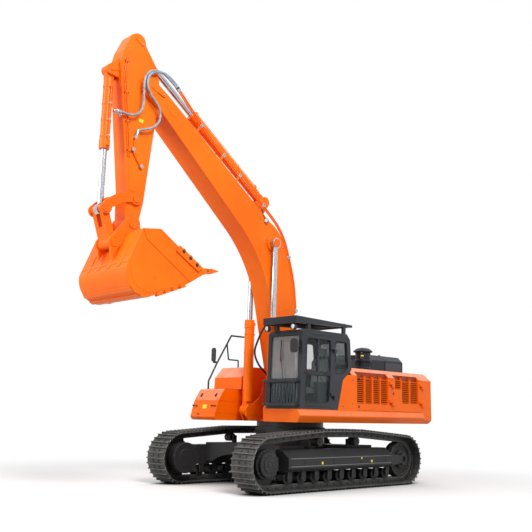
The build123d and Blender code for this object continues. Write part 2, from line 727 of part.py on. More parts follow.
def cylinder_parts(base, eye, outer_r, rod_r, barrel_len, eye_r, half, stroke):
    """Barrel with its base eye and bore, and rod with its end eye, drawn along +X from the base pin."""
    length = hypot(eye[0] - base[0], eye[1] - base[1])
    start = eye_r + 75
    barrel = bar_x(0, 0, outer_r, start, barrel_len) + bar_x(0, 0, outer_r + 8, barrel_len - 150, barrel_len)
    barrel += bar_y((0, 0), eye_r, -half, half)
    barrel += box(0, start + 10, -half, half, -eye_r * 0.75, eye_r * 0.75)
    barrel -= bar_x(0, 0, rod_r + pin_fit, start + 70, barrel_len + 1)
    barrel -= bar_x(0, 0, outer_r - 18, start + 70, barrel_len - 150)
    rod = bar_x(0, 0, rod_r, start + 90 + stroke, length - eye_r * 0.8)
    rod += bar_y((length, 0), eye_r, -half, half)
    angle = degrees(atan2(eye[1] - base[1], eye[0] - base[0]))
    return barrel, rod, angle


def set_cylinder(body, base, angle, y):
    return Pos(base[0], y, base[1]) * Rot(0, -angle, 0) * body


def build_boom_cylinders():
    barrel, rod, angle = cylinder_parts(boom_cyl_base, BOOM_EYE, boom_bore_r, boom_rod_r, boom_barrel_len,
                                        120, eye_half, boom_stroke)
    barrel -= bar_y((0, 0), pin_r + pin_fit, -eye_half - 1, eye_half + 1)
    barrels = [set_cylinder(barrel, boom_cyl_base, angle, s * cyl_y) for s in (-1, 1)]
    rods = [set_cylinder(rod, boom_cyl_base, angle, s * cyl_y) for s in (-1, 1)]
    return barrels, rods


def build_arm_cylinder():
    barrel, rod, angle = cylinder_parts(ARM_BASE, ARM_EYE, arm_bore_r, arm_rod_r, arm_barrel_len, 125, eye_half,
                                        arm_stroke)
    barrel -= bar_y((0, 0), pin_r + pin_fit, -eye_half - 1, eye_half + 1)
    return [set_cylinder(b, ARM_BASE, angle, 0) for b in (barrel, rod)]


def build_bucket_cylinder():
    barrel, rod, angle = cylinder_parts(BUCKET_BASE, ROCKER_END, bucket_bore_r, bucket_rod_r,
                                        bucket_barrel_len, 110, eye_half, bucket_stroke)
    barrel -= bar_y((0, 0), pin_r - 5 + pin_fit, -eye_half - 1, eye_half + 1)
    return [set_cylinder(b, BUCKET_BASE, angle, 0) for b in (barrel, rod)]


def build_rocker():
    """Two bent links outside the arm; the hollow edge passes over the bucket's boss."""
    y0 = arm_half + side_gap
    run = hypot(rocker_end[0] - rocker_pin[0], rocker_end[1] - rocker_pin[1])
    angle = degrees(atan2(ROCKER_END[1] - ROCKER_PIN[1], ROCKER_END[0] - ROCKER_PIN[0]))
    edges = [ThreePointArc((-20, 115), (run / 2, 190), (run + 20, 112)), Line((run + 20, 112), (run + 20, -95)),
             ThreePointArc((run + 20, -95), (run * 0.56, 0), (-20, -115)), Line((-20, -115), (-20, 115))]
    shape = make_face(edges) + disc((0, 0), 125) + disc((run, 0), 115)
    shape -= disc((0, 0), pin_r + pin_fit)
    return both_sides(shape, y0, y0 + 50, ROCKER_PIN, angle)


def build_push_link():
    """Waisted link: two cheeks at the rocker, closed to a box towards the bucket."""
    y1 = arm_half
    y0 = eye_half + side_gap
    run = hypot(link_pin[0] - rocker_end[0], link_pin[1] - rocker_end[1])
    angle = degrees(atan2(LINK_PIN[1] - ROCKER_END[1], LINK_PIN[0] - ROCKER_END[0]))
    waist = 70.0
    band = outline([(0, -waist), (run, -waist), (run, waist), (0, waist)])
    solid = both_sides(band + disc((0, 0), 90) + disc((run, 0), 105), y0, y1, ROCKER_END, angle)
    core = outline([(run * 0.5, -waist), (run, -waist), (run, waist), (run * 0.5, waist)]) + disc((run, 0), 105)
    solid += side(core, -y1, y1, ROCKER_END, angle)
    solid -= bar_y(LINK_PIN, pin_r + pin_fit, -y1 - 1, y1 + 1)
    return solid


def bucket_side():
    """Side plate in the view from the side, measured from the bucket pin."""
    edges = [Line((150, -210), (-250, -150)), Line((-250, -150), (-1290, -800)),
             Line((-1290, -800), (-1400, -830)), Line((-1400, -830), (-920, -1130)),
             Line((-920, -1130), (-30, -1490)), ThreePointArc((-30, -1490), (360, -1330), (470, -980)),
             Line((470, -980), (245, -445)), Line((245, -445), (150, -210))]
    return make_face(edges)


def build_bucket():
    shape = bucket_side()
    at = BUCKET_PIN
    solid = side(shape, -bucket_half, bucket_half, at)
    hollow = [Line((110, -262), (-250, -200)), Line((-250, -200), (-250, 300)), Line((-250, 300), (-1500, 300)),
              Line((-1500, 300), (-1500, -740)), Line((-1500, -740), (-1370, -800)),
              Line((-1370, -800), (-905, -1087)), Line((-905, -1087), (-26, -1446)),
              ThreePointArc((-26, -1446), (325, -1300), (427, -985)), Line((427, -985), (205, -455)),
              Line((205, -455), (110, -262))]
    solid -= side(make_face(hollow), -bucket_half + bucket_wall, bucket_half - bucket_wall, at)
    pin = (LINK_PIN[0] - at[0], LINK_PIN[1] - at[1])
    y0 = arm_half + side_gap
    ears = strap((0, 0), 165, pin, 130) + outline([(-160, -20), (130, 0), (480, -430), (440, -750), (245, -445),
                                                  (150, -210), (-220, -155)])
    ears -= disc((0, 0), pin_r + 10 + pin_fit)
    ears -= bucket_side()
    solid += both_sides(ears, y0, y0 + 60, at)
    plate = outline([(150, -210), (-250, -150), (-1290, -800), (-1400, -830), (-1010, -1075), (60, -400)])
    solid += both_sides(plate, bucket_half - 1, bucket_half + doubler, at)
    for x, z, a in ((170, -1468, -24), (330, -1365, -52)):
        solid += side(Pos(x, z) * Rot(0, 0, -a) * Rectangle(90, 44), -bucket_half + 20, bucket_half - 20, at)
    for k in (0.12, 0.32, 0.52, 0.72):
        x, z = -920 + 890 * k, -1130 - 360 * k
        pad = Pos(x, z) * Rot(0, 0, -22) * Rectangle(125, 80)
        solid += both_sides(pad, bucket_half - 60, bucket_half + 28, at)
    solid += bar_y(LINK_PIN, pin_r, -y0 - 1, y0 + 1)
    return solid


def build_teeth():
    """Adapters with pointed teeth on the lip, and bolted cutters on the side plates."""
    at = BUCKET_PIN
    holder = outline([(-1400, -830), (-1230, -790), (-1290, -745), (-1420, -735), (-1560, -730), (-1560, -815)])
    holder -= bucket_side()
    found = []
    for i in range(tooth_count):
        y = -bucket_half + 90 + (2 * bucket_half - 180) * i / (tooth_count - 1)
        grip = side(holder, y - 62, y + 62, at)
        root = Plane((at[0] - 1558, y, at[1] - 772), x_dir=(0, 1, 0), z_dir=(-1, 0, 0.12)) * Rectangle(150, 100)
        point = Plane((at[0] - 1772, y, at[1] - 742), x_dir=(0, 1, 0), z_dir=(-1, 0, 0.12)) * Rectangle(70, 10)
        found.append(grip + loft([root, point]))
    cutter = outline([(-1290, -760), (-1180, -850), (-620, -520), (-700, -400)])
    for x, z in ((-1130, -720), (-960, -610), (-790, -505)):
        cutter += disc((x, z), 62)
    for s in (-1, 1):
        y = s * (bucket_half + doubler + 15)
        found.append(side(cutter, y - 15, y + 15, at))
    return found


def build_handrails():
    """Bent tube rail at the right side, from the tool box's side up and back over the tank, with a brace."""
    y = -side_y - 55
    r = 21.0
    main = FilletPolyline((1165, -side_y, 1600), (1165, y, 1600), (1165, y, 2260), (925, y, 2690), (490, y, 3385),
                          (-60, y, 3385), (-60, y, 2450), (-60, -side_y, 2450), radius=30)
    solid = sweep(Plane(main @ 0, z_dir=main % 0) * Circle(r), main)
    foot = FilletPolyline((620, y, 3178), (560, y, 2800), (240, y, 2800), (240, y, 2500), (240, -side_y, 2500),
                          radius=30)
    return solid + sweep(Plane(foot @ 0, z_dir=foot % 0) * Circle(r - 3), foot)


def build_mirrors():
    """Rounded mirror on the left pillar, and one on the right rail."""
    face = RectangleRounded(190, 290, 70)
    left = Pos(1340, 1390, up(0.78)) * Rot(0, 90, 0) * Rot(0, 0, 90) * extrude(face, 34)
    left += box(1200, 1345, 1440, 1468, up(0.77), up(0.77) + 28)
    left -= side(outline(CAB), cab_right - 1, side_y + 1)
    right = Pos(985, -1590, 2890) * Rot(0, 90, 0) * Rot(0, 0, 90) * extrude(RectangleRounded(130, 330, 60), 34)
    z = 2690
    right += box(945, 1000, -side_y - 65, -side_y - 45, z, z + 50) + box(985, 1010, -1600, -1580, z, 2760)
    return [left, right - build_handrails()]


def build_lamps():
    """Two round work lamps on brackets under the guard's front corners."""
    found = []
    low = cab_roof + 105
    for y in (cab_right + 110, side_y - 110):
        drum = bar_x(y, low - 75, 62, 1330, 1400) + box(1350, 1380, y - 16, y + 16, low - 20, low + 4)
        found.append(drum - side(outline([(-420, low + 60), (1410, low), (1410, low + 150)]), y - 40, y + 40))
    return found


def build_left_panel():
    """Fixed panel between the cab's slanted rear edge and the first side door."""
    low = roof_z - chamfer
    section = [(side_y - wall, deck_top), (side_y, deck_top), (side_y, low), (side_y - wall, low)]
    solid = along(outline(section), panel_front + 20, 200)
    return solid - side(grown(CAB, 2), cab_right - 10, side_y + 10)


def shift(body):
    return Pos(swing_x, 0, 0) * body


def save(name, bodies):
    found = bodies if isinstance(bodies, list) else [bodies]
    solids = []
    for body in found:
        solids += shift(body).solids()
    export_step(Compound(children=solids), os.path.join("parts", name + ".step"))


def main():
    os.makedirs("parts", exist_ok=True)
    y = gauge / 2
    track = build_track()
    save("track_left", Pos(0, y, 0) * track)
    save("track_right", Pos(0, -y, 0) * track)
    frame = Pos(0, y, 0) * build_track_frame()
    guard = Pos(0, y, 0) * build_motor_guard()
    save("track_frames", pair(frame) + pair(guard))
    save("sprockets", pair(Pos(wheel_base / 2, y, wheel_z) * build_sprocket()))
    save("idlers", pair(Pos(-wheel_base / 2, y, wheel_z) * build_idler()))
    save("bottom_rollers", build_bottom_rollers(y) + build_bottom_rollers(-y))
    save("carrier_rollers", build_carrier_rollers(y) + build_carrier_rollers(-y))
    drum, legs = build_lower_frame()
    save("lower_frame", drum)
    save("frame_legs", legs)
    bearing = bar_z(0, 0, ring_r + 20, seat_z, seat_z + 110) + bar_z(0, 0, ring_r - 20, seat_z, deck_low - fit)
    bearing -= bar_z(0, 0, ring_bore, seat_z - 1, deck_low + 1)
    save("swing_bearing", bearing)

    hood, hood_pins, hood_at = build_hood()
    heights = [(1780, 1900), (2200, 2320)]
    pins_a, leaves_a = hinge_parts(panel_mid + 20, heights, 110)
    pins_b, leaves_b = hinge_parts(rear_x + 40, heights, 110)
    columns = [(x, 1800, louvre_top) for x in (-1435, -1150, -865)]
    door_a = build_side_door(panel_mid + 20, panel_front - 20, FRONT_FIELDS, columns) + leaves_a
    columns = [(-2596, 1840, louvre_top - 12)]
    door_b = build_side_door(rear_x + 40, panel_mid - 20, REAR_FIELDS, columns) + leaves_b
    door_c = build_side_door(rear_x + 40, tank_rear) + leaves_b
    save("main_frame", build_main_frame())
    save("left_deck", build_deck(1340))
    save("right_deck", mirrored(build_deck(795)))
    save("counterweight", build_counterweight())
    save("engine", build_engine())
    save("top_deck", build_top_deck() + hood_pins + pins_a + pins_b + mirrored(pins_b))
    save("hood", hood)
    save("left_panel", build_left_panel())
    save("tanks", build_tanks())
    save("tool_box", build_tool_box())
    save("stack", build_stack())
    cab, panes, door, door_glass = build_cab()
    save("cab_shell", cab)
    save("cab_glass", panes)
    save("cab_door", door)
    save("cab_door_glass", door_glass)
    save("roof_guard", build_roof_guard())
    save("front_guard", build_front_guard())
    save("chair", build_chair())
    save("console", build_console())
    save("handrails", build_handrails())
    save("mirrors", build_mirrors())
    save("lamps", build_lamps())
    save("door_left_front", door_a)
    save("door_left_rear", door_b)
    save("door_right", mirrored(door_c))

    save("boom", build_boom())
    save("arm", build_arm())
    barrels, rods = build_boom_cylinders()
    save("boom_barrels", barrels)
    save("boom_rods", rods)
    barrel, rod = build_arm_cylinder()
    save("arm_barrel", barrel)
    save("arm_rod", rod)
    barrel, rod = build_bucket_cylinder()
    save("bucket_barrel", barrel)
    save("bucket_rod", rod)
    save("rocker", build_rocker())
    save("push_link", build_push_link())
    save("bucket", build_bucket())
    save("teeth", build_teeth())


if __name__ == "__main__":
    main()
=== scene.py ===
import json
from math import acos, atan2, cos, hypot, pi, radians, sin

import bmesh
import bpy
from mathutils import Matrix, Vector

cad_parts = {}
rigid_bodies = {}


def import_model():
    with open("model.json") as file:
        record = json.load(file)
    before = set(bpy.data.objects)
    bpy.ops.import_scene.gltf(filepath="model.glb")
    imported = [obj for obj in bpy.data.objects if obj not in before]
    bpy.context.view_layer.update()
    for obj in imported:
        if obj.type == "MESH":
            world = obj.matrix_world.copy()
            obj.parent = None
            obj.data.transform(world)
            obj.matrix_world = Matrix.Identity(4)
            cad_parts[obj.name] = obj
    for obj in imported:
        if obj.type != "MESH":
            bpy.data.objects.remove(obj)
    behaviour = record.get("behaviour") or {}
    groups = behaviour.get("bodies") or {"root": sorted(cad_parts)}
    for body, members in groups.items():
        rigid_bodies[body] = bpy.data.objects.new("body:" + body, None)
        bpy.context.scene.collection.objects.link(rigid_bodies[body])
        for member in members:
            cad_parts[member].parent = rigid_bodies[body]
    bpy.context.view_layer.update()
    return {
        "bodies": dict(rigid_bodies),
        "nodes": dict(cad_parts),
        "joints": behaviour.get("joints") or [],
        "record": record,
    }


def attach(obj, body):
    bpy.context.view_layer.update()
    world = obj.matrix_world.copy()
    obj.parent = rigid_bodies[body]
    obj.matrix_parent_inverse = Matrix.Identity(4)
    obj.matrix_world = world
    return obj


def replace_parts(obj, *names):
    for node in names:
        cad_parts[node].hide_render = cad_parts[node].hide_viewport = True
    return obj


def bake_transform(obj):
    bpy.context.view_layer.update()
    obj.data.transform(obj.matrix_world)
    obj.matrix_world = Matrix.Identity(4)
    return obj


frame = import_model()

joints = {j["name"]: j for j in frame["record"]["behaviour"]["joints"]}


# Finishes

class Wire:
    """One output in a node tree. Arithmetic on it adds Math nodes."""

    def __init__(self, nodes, socket):
        self.nodes = nodes
        self.socket = socket

    def __add__(self, other):
        return self.nodes.math("ADD", self, other)

    def __sub__(self, other):
        return self.nodes.math("SUBTRACT", self, other)

    def __rsub__(self, other):
        return self.nodes.math("SUBTRACT", other, self)

    def __mul__(self, other):
        return self.nodes.math("MULTIPLY", self, other)

    __radd__ = __add__
    __rmul__ = __mul__

    def ramp(self, low, high):
        """0 below low, 1 above high, smooth between."""
        return self.nodes.node("MapRange", {"interpolation_type": "SMOOTHSTEP"},
                               {0: self, 1: low, 2: high, 3: 0.0, 4: 1.0})


class Nodes:
    """A node tree and the nodes drawn in it."""

    def __init__(self, tree):
        self.tree = tree

    def feed(self, socket, value):
        if isinstance(value, Wire):
            self.tree.links.new(value.socket, socket)
        else:
            socket.default_value = value

    def node(self, kind, settings=None, sockets=None, out=0):
        made = self.tree.nodes.new("ShaderNode" + kind)
        for key, value in (settings or {}).items():
            setattr(made, key, value)
        for key, value in (sockets or {}).items():
            self.feed(made.inputs[key], value)
        return Wire(self, made.outputs[out])

    def math(self, operation, *values):
        return self.node("Math", {"operation": operation}, dict(enumerate(values)))

    def mix(self, share, first, second):
        return self.node("Mix", {"data_type": "RGBA"}, {0: share, 6: first, 7: second}, 2)

    def seen(self):
        """1 for what the camera sees, straight or in metal and glass, and 0 for light on the object."""
        kinds = ("Is Camera Ray", "Is Glossy Ray", "Is Transmission Ray")
        straight, mirrored, through = [self.node("LightPath", out=kind) for kind in kinds]
        return self.math("MAXIMUM", self.math("MAXIMUM", straight, mirrored), through)

    def spot(self):
        """Where the surface is, in metres in the frame."""
        return self.node("TexCoord", out="Object")

    def place(self, axis):
        """One coordinate of the spot."""
        return self.node("SeparateXYZ", None, {0: self.spot()}, axis)

    def slope(self, axis):
        """How far the surface faces along one axis."""
        return self.node("SeparateXYZ", None, {0: self.node("TexCoord", out="Normal")}, axis)

    def noise(self, scale, detail=3.0, rough=0.55, stretch=None):
        spot = self.spot()
        if stretch:
            spot = self.node("VectorMath", {"operation": "MULTIPLY"}, {0: spot, 1: stretch})
        sockets = {"Vector": spot, "Scale": scale, "Detail": detail, "Roughness": rough}
        return self.node("TexNoise", None, sockets)

    def wave(self, axis, scale, distortion=0.0):
        sockets = {"Vector": self.spot(), "Scale": scale, "Distortion": distortion}
        return self.node("TexWave", {"bands_direction": axis}, sockets)


class Finish(Nodes):
    """A material around one Principled shader."""

    def __init__(self, name):
        self.material = bpy.data.materials.new(name)
        self.material.use_nodes = True
        super().__init__(self.material.node_tree)
        self.tree.nodes.clear()
        self.shader = self.tree.nodes.new("ShaderNodeBsdfPrincipled")
        end = self.tree.nodes.new("ShaderNodeOutputMaterial")
        self.tree.links.new(self.shader.outputs[0], end.inputs[0])

    def rounded(self, radius):
        return self.node("Bevel", {"samples": 6}, {"Radius": radius})

    def edges(self, soft):
        """1 along the edges that the rounding softens."""
        flat = self.node("NewGeometry", out="Normal")
        same = self.node("VectorMath", {"operation": "DOT_PRODUCT"}, {0: soft, 1: flat}, 1)
        return (1 - same).ramp(0.02, 0.2)

    def bump(self, height, distance, strength=1.0, soft=None):
        sockets = {"Height": height, "Distance": distance, "Strength": strength}
        if soft:
            sockets["Normal"] = soft
        return self.node("Bump", None, sockets)

    def set(self, **values):
        for key, value in values.items():
            self.feed(self.shader.inputs[key.replace("_", " ")], value)
        return self.material


def tint(red, green, blue):
    """An sRGB colour of 0 to 255 as linear light."""
    def linear(v):
        v = v / 255
        return v / 12.92 if v <= 0.04045 else ((v + 0.055) / 1.055) ** 2.4
    return (linear(red), linear(green), linear(blue), 1.0)


across_y, upward_z = 1, 2
# Dark orange-brown: painted shade in recessed pockets.
painted_pocket_shade = tint(158, 56, 6)
# Pale grey for steel edges: wear, and a painted highlight along them.
worn_and_highlight_edge = tint(172, 170, 166)
# Near black: painted shade in corners.
painted_corner_shade = tint(10, 10, 10)
earth_dust = tint(132, 124, 112)
polish = tint(216, 219, 224)


def paint(name, bright, deep, dust_and_sheen_tint, rough, coat, chip_and_highlight_tint, radius=0.006, dust_and_sheen_share=0.3, pocket=None):
    """Sprayed paint: slow drift, orange peel, a pale tint on what faces up that is partly dusting and partly
    a painted highlight, edges lightened by wear and by a painted highlight, painted shade in pockets.
    """
    f = Finish(name)
    soft = f.rounded(radius)
    edge = f.edges(soft)
    drift = f.noise(0.8, 3.0)
    grime = f.noise(4.5, 6.0, 0.65)
    colour = f.mix(drift.ramp(0.3, 0.7), deep, bright)
    # Upward faces are mixed toward the pale tint: partly a dusting that settles there, partly a painted
    # highlight of light falling on the tops.
    dust_and_sheen = f.slope(upward_z).ramp(0.35, 0.8) * (grime.ramp(0.25, 0.8) * 0.4 + 0.6) * dust_and_sheen_share
    colour = f.mix(dust_and_sheen, colour, dust_and_sheen_tint)
    # Edges are lightened toward a pale tint: partly worn paint, partly a painted highlight along them.
    rubbed_and_highlit = edge * f.noise(38.0, 4.0).ramp(0.48, 0.66)
    colour = f.mix(rubbed_and_highlit * 0.55, colour, chip_and_highlight_tint)
    # Further in across than the pocket range the colour turns dark orange-brown: painted shade in the louvre
    # pockets.
    if pocket:
        colour = f.mix(1 - f.place(across_y).ramp(*pocket), colour, painted_pocket_shade)
    peel = f.noise(160.0, 2.0) * 0.4 + f.noise(9.0, 2.0)
    return f.set(Base_Color=colour, Roughness=grime * 0.12 + dust_and_sheen * 0.5 + edge * 0.08 + rough,
                 Coat_Weight=coat, Coat_Roughness=0.12, Specular_IOR_Level=0.2,
                 Normal=f.bump(peel, 0.0006, 0.35, soft))


def rolled_steel(name, dark, pale, rough, metal, scale, radius=0.004):
    """Bare or thinly painted steel: blotches, scuffs, bright edges from wear and a painted highlight, painted
    shade darkening the corners.
    """
    f = Finish(name)
    soft = f.rounded(radius)
    edge = f.edges(soft)
    blotch = f.noise(scale, 6.0, 0.7)
    scuff = f.noise(scale * 6, 4.0, 0.6, (1.0, 0.25, 1.0))
    colour = f.mix(blotch.ramp(0.35, 0.7), dark, pale)
    # Edges turn pale grey: worn steel, and a painted highlight along them.
    edge_wear_and_highlight = edge * (scuff.ramp(0.35, 0.6) * 0.5 + 0.5)
    colour = f.mix(edge_wear_and_highlight, colour, worn_and_highlight_edge)
    # Ambient occlusion darkens the corners toward near black: painted shade.
    corner = f.node("AmbientOcclusion", {"samples": 6}, {"Distance": radius * 14}, 1)
    colour = f.mix(corner.ramp(0.35, 0.95), painted_corner_shade, colour)
    dusty = f.slope(upward_z).ramp(0.3, 1.0) * blotch.ramp(0.3, 0.75) * 0.22
    colour = f.mix(dusty, colour, earth_dust)
    return f.set(Base_Color=colour, Roughness=blotch * 0.25 + rough - edge_wear_and_highlight * 0.15,
                 Metallic=edge_wear_and_highlight * 0.35 + metal, Normal=f.bump(blotch + scuff * 0.5, 0.0015, 0.5, soft))


def plated(name, colour, rough):
    """Polished plating with faint drawn streaks."""
    f = Finish(name)
    draw = f.noise(26.0, 3.0, 0.5, (1.0, 1.0, 7.0))
    return f.set(Base_Color=f.mix(draw.ramp(0.3, 0.75), colour, polish), Metallic=1.0,
                 Roughness=draw * 0.1 + rough, Normal=f.bump(draw, 0.0002, 0.2))


def tinted_glass(name, side, front):
    """Clear dark panes at the sides and below, and a windscreen given a paler grey and more opacity as a
    painted reflection, with a thin dusty film.
    """
    f = Finish(name)
    ahead = f.slope(0).ramp(0.5, 0.9)
    film = f.noise(0.9, 2.0)
    low = 1 - f.place(upward_z).ramp(2.18, 2.24)
    # Forward-facing glass above the lower pane gets a paler grey and more opacity: a painted reflection.
    f.set(Base_Color=f.mix(low, f.mix(ahead, side, front), side), Roughness=film * 0.04 + 0.01,
          Alpha=ahead * 0.5 + film * 0.05 + 0.12, Coat_Weight=1.0, Coat_Roughness=0.02)
    f.material.blend_method = "BLEND"
    return f.material


def moulded(name, colour, pale, rough):
    """Moulded plastic or rubber with a fine grain."""
    f = Finish(name)
    grain = f.noise(420.0, 2.0)
    wipe = f.noise(11.0, 4.0)
    return f.set(Base_Color=f.mix(wipe.ramp(0.3, 0.8), colour, pale), Roughness=wipe * 0.15 + rough,
                 Normal=f.bump(grain, 0.0004, 0.4, f.rounded(0.003)))


def woven(name, colour, pale):
    """Plain woven cloth."""
    f = Finish(name)
    weave = f.math("MAXIMUM", f.wave("X", 95.0, 0.4), f.wave("Z", 95.0, 0.4))
    return f.set(Base_Color=f.mix(weave, colour, pale), Roughness=0.9, Sheen_Weight=0.3,
                 Normal=f.bump(weave, 0.0008, 0.6))


def lens(name, colour, pale):
    """Ribbed lamp glass."""
    f = Finish(name)
    rib = f.wave("Z", 60.0)
    return f.set(Base_Color=f.mix(rib, colour, pale), Roughness=0.08, Coat_Weight=1.0,
                 Normal=f.bump(rib, 0.001, 0.5))


def punched(name, colour, dark):
    """Sheet with rows of round holes, drawn in near black as painted shade inside them."""
    f = Finish(name)
    sockets = {"Vector": f.spot(), "Scale": 34.0, "Randomness": 0.0}
    hole = 1 - f.node("TexVoronoi", {"feature": "F1"}, sockets).ramp(0.28, 0.36)
    return f.set(Base_Color=f.mix(hole, colour, dark), Roughness=hole * 0.4 + 0.45,
                 Normal=f.bump(1 - hole, 0.003, 0.7))


orange_paint = paint("orange_paint", tint(255, 118, 8), tint(253, 106, 0), tint(250, 176, 136), 0.32, 0.08,
                     tint(255, 158, 92))
# On the house the pale pink on tops and ledges is a painted sheen of light at a grazing angle.
house_paint = paint("house_paint", tint(254, 112, 2), tint(250, 101, 0), tint(248, 206, 186), 0.32, 0.08,
                    tint(255, 158, 92), 0.006, 0.62)
# The door finish darkens its louvre pockets with painted shade.
door_paint = paint("door_paint", tint(252, 110, 2), tint(248, 100, 0), tint(250, 150, 90), 0.32, 0.08,
                   tint(255, 158, 92), 0.006, 0.1, (1.43, 1.47))
digging_paint = paint("digging_paint", tint(254, 118, 10), tint(250, 104, 0), tint(246, 150, 104), 0.36, 0.06,
                      tint(255, 166, 104), 0.008)
# The cab's pale blue-grey edge tint is a painted highlight along its pillars and roof edge.
cab_paint = paint("cab_paint", tint(48, 51, 56), tint(36, 39, 44), tint(112, 116, 124), 0.34, 0.25,
                  tint(150, 158, 168), 0.014)
hood_paint = paint("hood_paint", tint(38, 41, 50), tint(29, 31, 38), tint(96, 100, 114), 0.42, 0.15,
                   tint(100, 104, 116))
# The frame's pale grey edge tint is a painted highlight along its edges.
frame_paint = paint("frame_paint", tint(42, 42, 43), tint(30, 30, 31), tint(76, 75, 73), 0.42, 0.15,
                    tint(140, 140, 140), 0.014)
# Light grey for the strips along the track frames' upper and lower edges: a painted highlight.
painted_highlight_strip = paint("painted_highlight_strip", tint(120, 120, 122), tint(96, 96, 98), tint(150, 150, 150), 0.35, 0.2,
                   tint(170, 170, 170))
perforated = punched("perforated", tint(48, 51, 60), tint(8, 8, 10))
track_steel = rolled_steel("track_steel", tint(56, 56, 56), tint(88, 87, 86), 0.4, 0.3, 5.0, 0.014)
roller_steel = rolled_steel("roller_steel", tint(20, 20, 20), tint(38, 37, 36), 0.5, 0.2, 7.0)
bolt_steel = rolled_steel("bolt_steel", tint(120, 122, 124), tint(170, 172, 174), 0.28, 0.7, 30.0)
dark_bolt = rolled_steel("dark_bolt", tint(34, 33, 33), tint(60, 59, 58), 0.42, 0.4, 24.0)
chrome_rod = plated("chrome_rod", tint(166, 172, 182), 0.07)
pipe_steel = plated("pipe_steel", tint(150, 160, 170), 0.22)
# The windscreen's paler grey is a painted reflection.
window_glass = tinted_glass("window_glass", tint(34, 58, 62), tint(132, 133, 134))
black_plastic = moulded("black_plastic", tint(30, 30, 32), tint(46, 46, 48), 0.55)
rubber = moulded("rubber", tint(24, 24, 25), tint(38, 38, 39), 0.62)
seat_cloth = woven("seat_cloth", tint(104, 114, 114), tint(150, 160, 158))
lamp_lens = lens("lamp_lens", tint(206, 226, 232), tint(250, 252, 252))
reflector = moulded("reflector", tint(170, 22, 16), tint(196, 34, 24), 0.25)
hose_sleeve = moulded("hose_sleeve", tint(120, 134, 146), tint(168, 180, 190), 0.42)
yellow_label = moulded("yellow_label", tint(250, 208, 30), tint(255, 222, 60), 0.4)
mirror_face = plated("mirror_face", tint(176, 186, 196), 0.04)

node_finish = {
    orange_paint: ("main_frame", "boom", "arm", "boom_barrels", "arm_barrel", "bucket_barrel"),
    house_paint: ("left_deck", "right_deck", "counterweight", "top_deck", "left_panel", "tanks", "tool_box",
                  "door_right"),
    door_paint: ("door_left_front", "door_left_rear"),
    digging_paint: ("bucket", "rocker", "push_link", "teeth"),
    cab_paint: ("cab_shell", "cab_door", "roof_guard", "front_guard", "handrails"),
    hood_paint: ("hood", "stack", "engine"),
    frame_paint: ("lower_frame", "frame_legs", "track_frames", "swing_bearing", "sprockets"),
    track_steel: ("track_left", "track_right"),
    roller_steel: ("idlers", "bottom_rollers", "carrier_rollers"),
    chrome_rod: ("boom_rods", "arm_rod", "bucket_rod"),
    window_glass: ("cab_glass", "cab_door_glass"),
    black_plastic: ("console", "mirrors", "lamps"),
    seat_cloth: ("chair",),
}
for finish, names in node_finish.items():
    for name in names:
        for slot in frame["nodes"][name].material_slots:
            slot.material = finish


# Places: millimetres in the frame of what carries a piece

def carried(joint, angle):
    """The side-view frame at a joint's pin: x along, y across, z square to both."""
    pin = Vector(joints[joint]["pos_m"])
    return Matrix.Translation(pin) @ Matrix.Rotation(-radians(angle), 4, "Y") @ Matrix.Scale(0.001, 4)


def between(first, second):
    """The side-view frame at first whose x runs to second, both in metres."""
    run = second - first
    return (Matrix.Translation(first) @ Matrix.Rotation(-atan2(run.z, run.x), 4, "Y")
            @ Matrix.Scale(0.001, 4))


swing_x = joints["swing"]["pos_m"][0]
boom_angle, arm_angle = 54.05, -85.09
machine = Matrix.Translation((swing_x, 0, 0)) @ Matrix.Scale(0.001, 4)
on_boom = carried("boom_lift", boom_angle)
on_arm = carried("arm_crowd", arm_angle)
on_bucket = carried("bucket_curl", 0.0)

boom_foot, boom_cylinder_foot = (300, 2240), (1010, 1600)
arm_cylinder_foot, bucket_cylinder_foot = (3751, 1794), (-77, 855)
rocker_pin, link_pin = (2398, -10), (3377, 347)
boom_tip_x = 7103


def pin_in(place, spot):
    """A pin in a side view, as a point of the frame."""
    return place @ Vector((spot[0], 0, spot[1]))


boom_eye = pin_in(on_boom, (2889, 1279))
arm_eye = pin_in(on_arm, (-881, 382))
rocker_end = pin_in(on_arm, (2763, 616))
on_boom_barrel = between(pin_in(machine, boom_cylinder_foot), boom_eye)
on_arm_barrel = between(pin_in(on_boom, arm_cylinder_foot), arm_eye)
on_bucket_barrel = between(pin_in(on_arm, bucket_cylinder_foot), rocker_end)
on_rocker = between(pin_in(on_arm, rocker_pin), rocker_end)

track_middle, wheel_x, wheel_z = 1370, 2200, 560
bearing_r, bearing_top = 780, 1240
house_side, cab_right = 1500, 500
stack_x, stack_y = -1350, 1050
boom_side, arm_side, bucket_side, cylinder_y = 260, 184, 820, 380


# Drawing

def rounded(points, radius, closed=True, steps=5):
    """A line with its corners turned into curves."""
    points = [Vector(p) for p in points]
    last = len(points) - 1
    found = []
    for i, p in enumerate(points):
        if not closed and i in (0, last):
            found.append(p)
            continue
        back, on = points[i - 1] - p, points[(i + 1) % len(points)] - p
        start = p + back.normalized() * min(radius, back.length * 0.48)
        end = p + on.normalized() * min(radius, on.length * 0.48)
        for k in range(steps + 1):
            t = k / steps
            found.append(start * (1 - t) ** 2 + p * 2 * t * (1 - t) + end * t * t)
    return found


def inset(points, by):
    """A closed outline moved inward."""
    points = [Vector(p) for p in points]
    count = len(points)
    area = sum(points[i - 1].cross(points[i]) for i in range(count))
    side = 1 if area > 0 else -1
    found = []
    for i, p in enumerate(points):
        a = (p - points[i - 1]).normalized()
        b = (points[(i + 1) % count] - p).normalized()
        inward = Vector((-a.y - b.y, a.x + b.x)).normalized()
        found.append(p + inward * (side * by / max(0.4, inward.dot(Vector((-a.y, a.x))))))
    return found


